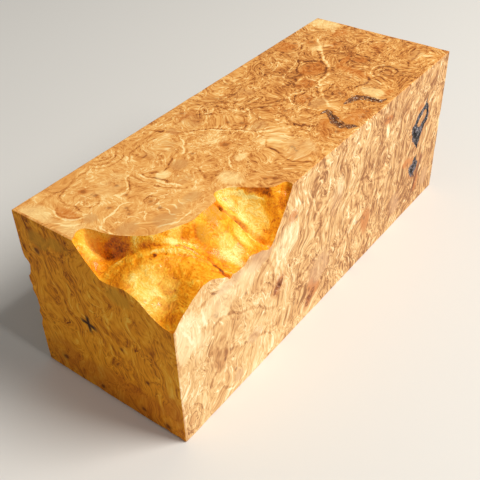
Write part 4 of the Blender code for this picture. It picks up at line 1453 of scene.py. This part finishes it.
def build_marks():
    """Each mask is a smoothstep of a kept distance, after the slow and the quick noise are added to it."""
    outputs = ["Cream", "Brown", "Stroke", "Halo", "Knot Rings", "Knot Middle", "Grey", "Orange", "Pale"]
    outputs += ["Dots", "Dot Halo", "Bark", "Bark Halo"]
    wire, given, out = new_group("measured_marks", {"Waver": 1.0, "Widen": 1.0}, outputs)
    link = wire.tree.links.new
    place = wire.place()
    noises = {
        name: wire.math("MULTIPLY", wire.math("SUBTRACT", wire.noise(place, size, 2.0), 0.5), given["Waver"])
        for name, size in (("slow", 5.0), ("quick", 1.6))
    }
    shift = wire.summed(0.0, LINE_BEND, noises)
    swell = wire.math("MULTIPLY", wire.math("ADD", wire.noise(place, 4.0, 1.0), 0.5), given["Widen"])
    strength = wire.span(wire.noise(place, 6.0, 2.0), 0.32, 0.54, 0.45, 1.0)
    for kind, sets in LINE_SETS.items():
        lines, halos = [], []
        for number in range(sets):
            row = wire.tree.nodes.new("ShaderNodeSeparateXYZ")
            side, half_width, on = wire.fill(row, {0: wire.kept(f"{kind}_{number}", "Vector")})
            gap = wire.math("ABSOLUTE", wire.math("MULTIPLY_ADD", shift, LINE_WAVER[kind], side))
            ratio = wire.math("DIVIDE", gap, wire.math("MULTIPLY", swell, half_width))
            lines.append(wire.math("MULTIPLY", wire.span(ratio, 1.35, 0.4), on))
            if kind == "brown":
                band = wire.math("MULTIPLY", wire.span(gap, 0.5, 1.1), wire.span(gap, 2.8, 1.5))
                halos.append(wire.math("MULTIPLY", band, on))
        line = wire.largest(lines)
        link(line if kind == "stroke" else wire.math("MULTIPLY", line, strength), out[kind.title()])
        if halos:
            link(wire.largest(halos), out["Halo"])
    ring = wire.summed(wire.kept("knot_ring"), RING_BEND, noises)
    wave = wire.math("PINGPONG", wire.math("MULTIPLY", ring, RINGS_PER_RADIUS), 0.5)
    fade = wire.math("MULTIPLY", wire.span(ring, 1.35, 0.9), wire.kept("knot_on"))
    rings = wire.math("MULTIPLY", wire.span(wave, 0.2, 0.02), fade)
    link(wire.math("MULTIPLY", rings, strength), out["Knot Rings"])
    link(wire.math("MULTIPLY", wire.span(ring, 0.5, 0.1), wire.kept("knot_on")), out["Knot Middle"])
    for name in PATCHES:
        ragged = wire.summed(wire.kept(name), {"slow": PATCH_BEND}, noises)
        mask = wire.math("MULTIPLY", wire.span(ragged, 0.1, 0.75), wire.span(wire.kept(name), 0.0, 0.3))
        link(mask, out[name.title()])
    row = wire.kept("dots", "Vector")
    away = wire.vector("LENGTH", wire.vector("MULTIPLY", row, (1.0, 1.0, 0.0)), output="Value")
    away = wire.summed(away, DOT_BEND, noises)
    near = wire.reach(row, Z_AXIS)
    link(wire.math("MULTIPLY", wire.span(away, 1.1, 0.4), near), out["Dots"])
    link(wire.math("MULTIPLY", wire.span(away, 2.2, 0.9), near), out["Dot Halo"])
    edge = wire.summed(wire.kept("bark_in"), BARK_BEND, noises)
    link(wire.span(edge, -0.15, 0.25), out["Bark"])
    link(wire.span(edge, -2.8, -0.1), out["Bark Halo"])
    return wire.tree


marks_group = build_marks()
print("marks group:", len(marks_group.nodes), "nodes")

# %% [markdown]
# ## Colours of the bark
#
# Bark shows twice: on the walls of the seams, and as stained wood round them in the sawn faces. Both need the
# same colours, so they are a group of their own. It is black at the far end of the side, brown low down and
# in the two small pits, and paler on the top, with coarse patches of a second colour and small pale grains,
# which are partly painted glints.

# %% Node group: bark colours
# The dark colour, the second one and the pale grains, which are partly painted glints
BLACK_BARK = paints((38, 32, 34), (112, 100, 106), (166, 170, 182))
BROWN_BARK = paints((150, 86, 40), (196, 124, 68), (232, 186, 130))
TOP_BARK = paints((116, 64, 24), (196, 128, 60), (255, 236, 198))
# The side's bark turns brown over these heights, and over these places along x, in millimetres
LOW_SPAN, PITS_SPAN = (21.0, 18.0), (60.0, 50.0)


def build_bark():
    """Three pairs of blends by two noise masks, and for the side a blend by height and by place."""
    wire, _, out = new_group("bark_colours", {}, ["Side", "Top"], "NodeSocketColor")
    place = wire.place()
    coarse = wire.span(wire.noise(place, 1.9, 3.0, 0.7), 0.48, 0.62)
    pale_grains_and_glints = wire.span(wire.noise(place, 0.7, 2.0), 0.6, 0.7)
    black, brown, top = (
        wire.blend(pale_grains_and_glints, wire.blend(coarse, dark, middle), speck_and_glint)
        for dark, middle, speck_and_glint in (BLACK_BARK, BROWN_BARK, TOP_BARK)
    )
    low = wire.span(wire.reach(place, Z_AXIS), *LOW_SPAN)
    near = wire.span(wire.reach(place, X_AXIS), *PITS_SPAN)
    wire.tree.links.new(wire.blend(wire.math("MAXIMUM", low, near), black, brown), out["Side"])
    wire.tree.links.new(top, out["Top"])
    return wire.tree


bark_group = build_bark()
print("bark group:", len(bark_group.nodes), "nodes")

# %% [markdown]
# ## The sawn woods
#
# Top, side and end are one wood, cut three ways: across the growth, along it, and at its end, where the open
# fibres look darker. The near end is painted darker and more amber still than the far end, as painted shade.
# One function serves them all. It adds every part of the figure, each with its own share, into one number
# from dark to pale, and a ramp turns that number into brown, tan or cream. Only what differs in hue, such as
# bark or an orange knot, is laid over it as a colour.

# %% Sawn wood
# Along x in millimetres: where the near detail gives way to the far detail, and the near base to the far base
DETAIL_SPAN, BASE_SPAN = (-75.0, 5.0), (-60.0, 60.0)
# Grey patches take this share of the figure away, and this is the wood's relief where the bark's depth is one
GREY_CALM, WOOD_RELIEF = 0.4, 0.6
WOOD_BUMP = {"Strength": 0.4, "Distance": 0.00012}


def wood_finish(name, wood):
    """One number summed from figure and marks, a ramp over it, and the hues of the marks on top."""
    wire, shader = plain_tree(name)
    along_block = wire.reach(wire.place(), X_AXIS)
    crowd = wire.group(figure_group, wood["figure"])
    marks = wire.group(marks_group, {"Widen": wood["widen"]})
    near, far = (
        wire.summed(-0.5 * (shares["Mottle"] + shares["Fibres"]), shares, crowd)
        for shares in (wood["near detail"], wood["far detail"])
    )
    detail = wire.add("Mix", {0: wire.span(along_block, *DETAIL_SPAN), 2: near, 3: far})
    calm = wire.math("MULTIPLY_ADD", marks["Grey"], -GREY_CALM, 1.0)
    value = wire.math("MULTIPLY", detail, calm)
    value = wire.math("ADD", value, wire.span(along_block, *BASE_SPAN, *wood["base"]))
    value = wire.summed(value, {"Tone": wood["tone"]}, crowd)
    value = wire.summed(value, wood["marks"], marks)
    colour = wire.ramp(value, wood["stops"])
    for mark, (share, hue) in wood["hues"].items():
        colour = wire.blend(wire.math("MULTIPLY", marks[mark], share), colour, hue)
    if wood["bark"]:
        colour = wire.blend(marks["Bark"], colour, wire.group(bark_group, {})[wood["bark"]])
    height = wire.math("SUBTRACT", wire.math("MULTIPLY", value, WOOD_RELIEF), marks["Bark"])
    wire.fill(shader, {
        "Base Color": colour,
        "Roughness": wire.span(value, 0.0, 1.0, wood["rough"] + 0.07, wood["rough"] - 0.05),
        "Normal": wire.add("Bump", {"Height": height, **WOOD_BUMP}),
        "Specular IOR Level": wood["shine"],
        "Coat Weight": 0.2 * wood["shine"],
        "Coat Roughness": 0.25,
    })
    print(name, "has", len(wire.tree.nodes), "nodes")


# %% [markdown]
# The top is cut across the growth. Its near part is quiet and cloudy, and its far part is crowded with eyes,
# so each part has its own shares of the figure. The side is cut along the growth: paler, and more streaked.

# %% Top and side
wood_finish("top_wood", {
    "figure": {"Swirl": 1.0, "Line Width": 1.0},
    "widen": 1.15,
    "base": (0.21, 0.08),
    "tone": 0.75,
    "near detail": {
        "Mottle": 0.7, "Fibres": 0.85, "Lines": -0.09, "Edges": 0.2,
        "Fine Lines": -0.08, "Cream": 0.3, "Pores": -0.15,
    },
    "far detail": {
        "Mottle": 1.1, "Fibres": 1.7, "Lines": -0.2, "Edges": 0.22,
        "Fine Lines": -0.2, "Cream": 0.34, "Pores": -0.25,
    },
    "marks": {"Pale": 0.2, "Halo": 0.08, "Cream": 0.42, "Brown": -0.28, "Knot Rings": -0.3},
    "stops": paints((112, 58, 20), (182, 108, 42), (224, 154, 76), (243, 186, 106), (255, 226, 160)),
    "hues": {
        "Orange": (0.5, paint(206, 112, 26)),
        "Grey": (0.4, paint(194, 142, 88)),
        "Knot Middle": (0.4, paint(190, 104, 34)),
        "Dot Halo": (0.35, paint(196, 108, 32)),
        "Dots": (0.5, paint(120, 62, 20)),
        "Bark Halo": (0.5, paint(214, 132, 44)),
        "Pale": (0.45, paint(255, 226, 156)),
    },
    "bark": "Top",
    "rough": 0.5,
    "shine": 0.3,
})
wood_finish("side_wood", {
    "figure": {"Swirl": 0.9, "Line Width": 1.2},
    "widen": 1.5,
    "base": (0.1, -0.1),
    "tone": 0.7,
    "near detail": {
        "Mottle": 0.9, "Fibres": 1.3, "Lines": -0.07, "Edges": 0.28,
        "Fine Lines": -0.1, "Cream": 0.42, "Pores": 0.0,
    },
    "far detail": {
        "Mottle": 1.4, "Fibres": 1.9, "Lines": -0.22, "Edges": 0.34,
        "Fine Lines": -0.26, "Cream": 0.5, "Pores": -0.1,
    },
    "marks": {"Pale": 0.2, "Halo": 0.06, "Cream": 0.4, "Brown": -0.21, "Knot Rings": -0.42},
    "stops": paints((150, 96, 50), (206, 150, 92), (232, 188, 126), (246, 214, 158), (255, 242, 204)),
    "hues": {
        "Orange": (0.75, paint(204, 122, 56)),
        "Grey": (0.5, paint(208, 164, 126)),
        "Knot Middle": (0.3, paint(206, 140, 84)),
        "Dot Halo": (0.35, paint(206, 136, 70)),
        "Dots": (0.6, paint(134, 82, 48)),
        "Bark Halo": (0.45, paint(206, 136, 78)),
        "Pale": (0.35, paint(255, 236, 190)),
        "Stroke": (0.85, paint(130, 66, 32)),
    },
    "bark": "Side",
    "rough": 0.52,
    "shine": 0.3,
})

# %% [markdown]
# The near end's colours are painted shade: darker and more saturated amber than the far end's. The far end
# has the same shares of the figure, and its colours lie nearer to the side's.

# %% Ends
END_DETAIL = {
    "Mottle": 1.2, "Fibres": 1.3, "Lines": -0.24, "Edges": 0.2,
    "Fine Lines": -0.14, "Cream": 0.3, "Pores": -0.15,
}
NEAR_END_PAINTED_SHADE = {
    "figure": {"Swirl": 0.9, "Line Width": 1.2},
    "widen": 1.0,
    "base": (0.12, 0.12),
    "tone": 0.8,
    "near detail": END_DETAIL,
    "far detail": END_DETAIL,
    "marks": {"Pale": 0.18, "Halo": 0.04, "Cream": 0.24, "Brown": -0.3},
    # Darker and more saturated than the far end's stops: painted shade
    "stops": paints((128, 62, 4), (196, 112, 8), (236, 150, 18), (250, 172, 34), (255, 198, 70)),
    "hues": {
        "Orange": (0.5, paint(200, 104, 6)),
        "Grey": (0.5, paint(206, 152, 40)),
        "Dot Halo": (0.4, paint(170, 86, 8)),
        "Dots": (0.8, paint(100, 48, 6)),
        "Stroke": (0.93, paint(26, 22, 24)),
    },
    "bark": None,
    "rough": 0.62,
    "shine": 0.12,
}
FAR_END = NEAR_END_PAINTED_SHADE | {
    "figure": {"Swirl": 0.9, "Line Width": 1.0},
    "stops": paints((118, 66, 24), (184, 118, 54), (220, 158, 84), (238, 184, 112), (252, 212, 150)),
    "hues": {"Orange": (0.5, paint(200, 112, 40))},
    "rough": 0.6,
    "shine": 0.2,
}
wood_finish("near_end_wood_painted_shade", NEAR_END_PAINTED_SHADE)
wood_finish("far_end_wood", FAR_END)

# %% [markdown]
# ## Amber skin
#
# Under the bark a burl is smooth and looks as if it had been dipped in honey, and a clear coat puts small
# bright lights on every lump. Here shape, clouds, speckles and the measured marks are summed into one number,
# and a ramp
# colours it: the folds come out darker and the ridges paler, which is painted shade. The coat is left off the
# tan broken wood.

# %% Amber skin and far hollows
# Size in millimetres, detail and roughness of three noises
SKIN_NOISES = {"cloud": (6.0, 3.0, 0.6), "mottle": (2.2, 3.0, 0.6), "fine": (0.8, 2.0, 0.6)}
SKIN_START = -0.39
# The hollow share darkens the folds and pales the ridges: painted shade
SKIN_SHARES = {"hollow": -0.05, "cloud": 0.7, "mottle": 0.5, "fine": 0.7, "specks": -0.3}
SKIN_MARKS = {"Pale": 0.27, "Orange": -0.36, "Cream": 0.26, "Brown": -0.36}
SKIN_RELIEF = {"cloud": 1.6, "mottle": 1.2, "fine": 0.5}
SKIN_BUMP = {"Strength": 0.7, "Distance": 0.0005}


def skin_finish(name, stops, tan, coat, rough):
    """One number from shape, noises and measured marks; a ramp over it; and a clear coat."""
    wire, shader = plain_tree(name)
    place = wire.place()
    marks = wire.group(marks_group, {"Waver": 0.6, "Widen": 1.4})
    bent = wire.vector("ADD", place, wire.scaled(wire.noise(place, 6.0, 1.0, output=1), 4.0))
    parts = {part: wire.noise(bent, *numbers) for part, numbers in SKIN_NOISES.items()}
    specks = wire.span(wire.noise(bent, 1.1, 1.0), 0.6, 0.7)
    parts["specks"] = wire.math("MULTIPLY", specks, wire.span(wire.noise(place, 5.0, 1.0), 0.4, 0.6))
    parts["hollow"] = wire.kept("hollow")
    value = wire.summed(SKIN_START, SKIN_SHARES, parts)
    value = wire.summed(value, SKIN_MARKS, marks)
    # Pale marks lift the skin towards its palest stop: partly painted light
    colour = wire.blend(wire.math("MULTIPLY", marks["Pale"], 0.2), wire.ramp(value, stops), stops[-1])
    colour = wire.blend(wire.math("MULTIPLY", marks["Grey"], 0.75), colour, tan)
    height = wire.summed(0.0, SKIN_RELIEF, parts)
    wire.fill(shader, {
        "Base Color": colour,
        "Roughness": wire.span(parts["mottle"], 0.3, 0.7, rough - 0.08, rough + 0.1),
        "Normal": wire.add("Bump", {"Height": height, **SKIN_BUMP}),
        "Specular IOR Level": 0.14,
        "Coat Weight": wire.span(marks["Grey"], 0.0, 0.6, coat, 0.0),
        "Coat Roughness": 0.12,
    })
    print(name, "has", len(wire.tree.nodes), "nodes")


AMBER = paints((124, 60, 6), (204, 104, 8), (238, 144, 14), (252, 184, 48), (255, 228, 134))
DULL_BROWN = paints((104, 62, 30), (166, 106, 50), (214, 146, 72), (238, 182, 106), (250, 216, 154))
skin_finish("amber_skin", AMBER, paint(206, 146, 34), 0.16, 0.36)
skin_finish("far_hollow", DULL_BROWN, paint(206, 160, 104), 0.15, 0.5)

# %% [markdown]
# ## Bark in the seams
#
# Dry bark crumbles into grains, and each grain has a small bright side. So the walls of the seams have the
# strongest bump of the whole block, and a coat over it.

# %% Bark
# Above this height in millimetres a seam is one of the top's
TOP_SPAN = (HEIGHT - 5.0, HEIGHT - 3.0)
BARK_BUMP = {"Strength": 0.9, "Distance": 0.0006}


def bark_finish():
    """The bark's colours for the side or the top, by height, with one noise for bump and roughness."""
    wire, shader = plain_tree("seam_bark")
    place = wire.place()
    bark = wire.group(bark_group, {})
    grain = wire.noise(place, 0.9, 3.0, 0.7)
    wire.fill(shader, {
        "Base Color": wire.blend(wire.span(wire.reach(place, Z_AXIS), *TOP_SPAN), bark["Side"], bark["Top"]),
        "Roughness": wire.span(grain, 0.3, 0.7, 0.35, 0.75),
        "Normal": wire.add("Bump", {"Height": grain, **BARK_BUMP}),
        "Coat Weight": 0.4,
        "Coat Roughness": 0.2,
    })
    print("seam_bark has", len(wire.tree.nodes), "nodes")


bark_finish()

# %% [markdown]
# ## Smooth where the wood is smooth
#
# Smooth shading bends light across faces. It suits the skin and the eased edges, but it would smear the sharp
# line where the saw met the skin. Every edge of a closed mesh has two faces, and the angle between them
# decides: a small turn is enough between two finishes, and it takes a large one within a finish.

# %% Shading, and the piece's place in the frame
# Turns in degrees, between two finishes and within one
FINISH_TURN, SHARP_TURN = 12.0, 35.0


def smooth_but_sharp(mesh):
    """Smooth faces; an edge is sharp where its faces turn enough, or turn less but change finish."""
    finish = read(mesh.polygons, "material_index")
    normals = read(mesh.polygons, "normal", 3, float)
    face_of_corner = np.repeat(np.arange(len(finish)), read(mesh.polygons, "loop_total"))
    order = np.argsort(read(mesh.loops, "edge_index"), kind="stable")
    first, second = face_of_corner[order[0::2]], face_of_corner[order[1::2]]
    turn = (normals[first] * normals[second]).sum(axis=1)
    sharp = (finish[first] != finish[second]) & (turn < np.cos(np.radians(FINISH_TURN)))
    sharp |= turn < np.cos(np.radians(SHARP_TURN))
    mesh.shade_smooth()
    mesh.attributes.new("sharp_edge", "BOOLEAN", "EDGE").data.foreach_set("value", sharp)
    return int(sharp.sum())


print("sharp edges:", smooth_but_sharp(cut_mesh), "of", len(cut_mesh.edges))
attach(blank, "root")
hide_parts("burl_block")

# %% [markdown]
# ## Floor, light and camera
#
# The block lies on a plain pale floor. One broad soft light from the right makes the side and the top bright
# and leaves the end in shade, as a window would; the near end's colours add painted shade to it. The camera
# stands at the photo's viewpoint: its place and turn were solved from the block's own corners.

# %% Stage
FLOOR_SIZE = 6.0
LIGHT_AIM = Vector((0, 0, 0.04))
SKY_COLOUR, SKY_STRENGTH = (1.0, 0.97, 0.92, 1.0), 0.22
floor_corners = np.array([(-1, -1, 0), (1, -1, 0), (1, 1, 0), (-1, 1, 0)]) * FLOOR_SIZE / 2 / MM
floor = new_mesh("floor", floor_corners, [(0, 1, 2, 3)])
floor_material = bpy.data.materials.new("pale_floor")
floor.data.materials.append(floor_material)
floor_wire, floor_shader = plain_tree("pale_floor")
floor_wire.fill(floor_shader, {"Base Color": paint(222, 221, 218), "Roughness": 0.7})


def soft_light(name, place, watts, size, colour):
    """A square area light that looks at the block's middle."""
    lamp = bpy.data.lights.new(name, "AREA")
    lamp.energy, lamp.size, lamp.color = watts, size, colour
    light = bpy.data.objects.new(name, lamp)
    aim = LIGHT_AIM - Vector(place)
    light.matrix_world = Matrix.Translation(place) @ aim.to_track_quat("-Z", "Y").to_matrix().to_4x4()
    bpy.context.scene.collection.objects.link(light)


soft_light("window", (0.46, -0.85, 1.05), 23.4, 0.7, (1.0, 0.96, 0.9))
soft_light("small_lamp", (-0.1, -0.5, 1.1), 1.2, 0.05, (1.0, 0.98, 0.95))
world = bpy.data.worlds.new("room")
world.use_nodes = True
world.node_tree.nodes["Background"].inputs["Color"].default_value = SKY_COLOUR
world.node_tree.nodes["Background"].inputs["Strength"].default_value = SKY_STRENGTH
bpy.context.scene.world = world
# The plain Standard view shows colours as they are lit; the default one pales strong oranges
bpy.context.scene.view_settings.view_transform = "Standard"
print("lights:", [light.name for light in bpy.data.lights])

# %% Camera
CAMERA_PLACE = Vector((-0.2231265, -0.1602724, 0.2326700))
CAMERA_LOOK = Vector((0.61559295, 0.480232, -0.62483802))
CAMERA_UP = Vector((0.51481656, 0.35524805, 0.78023249))
FOCAL_LENGTH, SENSOR = 56.708, 36.0
lens = bpy.data.cameras.new("photo_view")
lens.lens, lens.sensor_width = FOCAL_LENGTH, SENSOR
lens.clip_start = 0.01
camera = bpy.data.objects.new("photo_view", lens)
turn = Matrix((CAMERA_LOOK.cross(CAMERA_UP), CAMERA_UP, -CAMERA_LOOK)).transposed()
camera.matrix_world = Matrix.Translation(CAMERA_PLACE) @ turn.to_4x4()
bpy.context.scene.collection.objects.link(camera)
bpy.context.scene.camera = camera
print("the camera stands", round(CAMERA_PLACE.length, 3), "m from the block's foot")
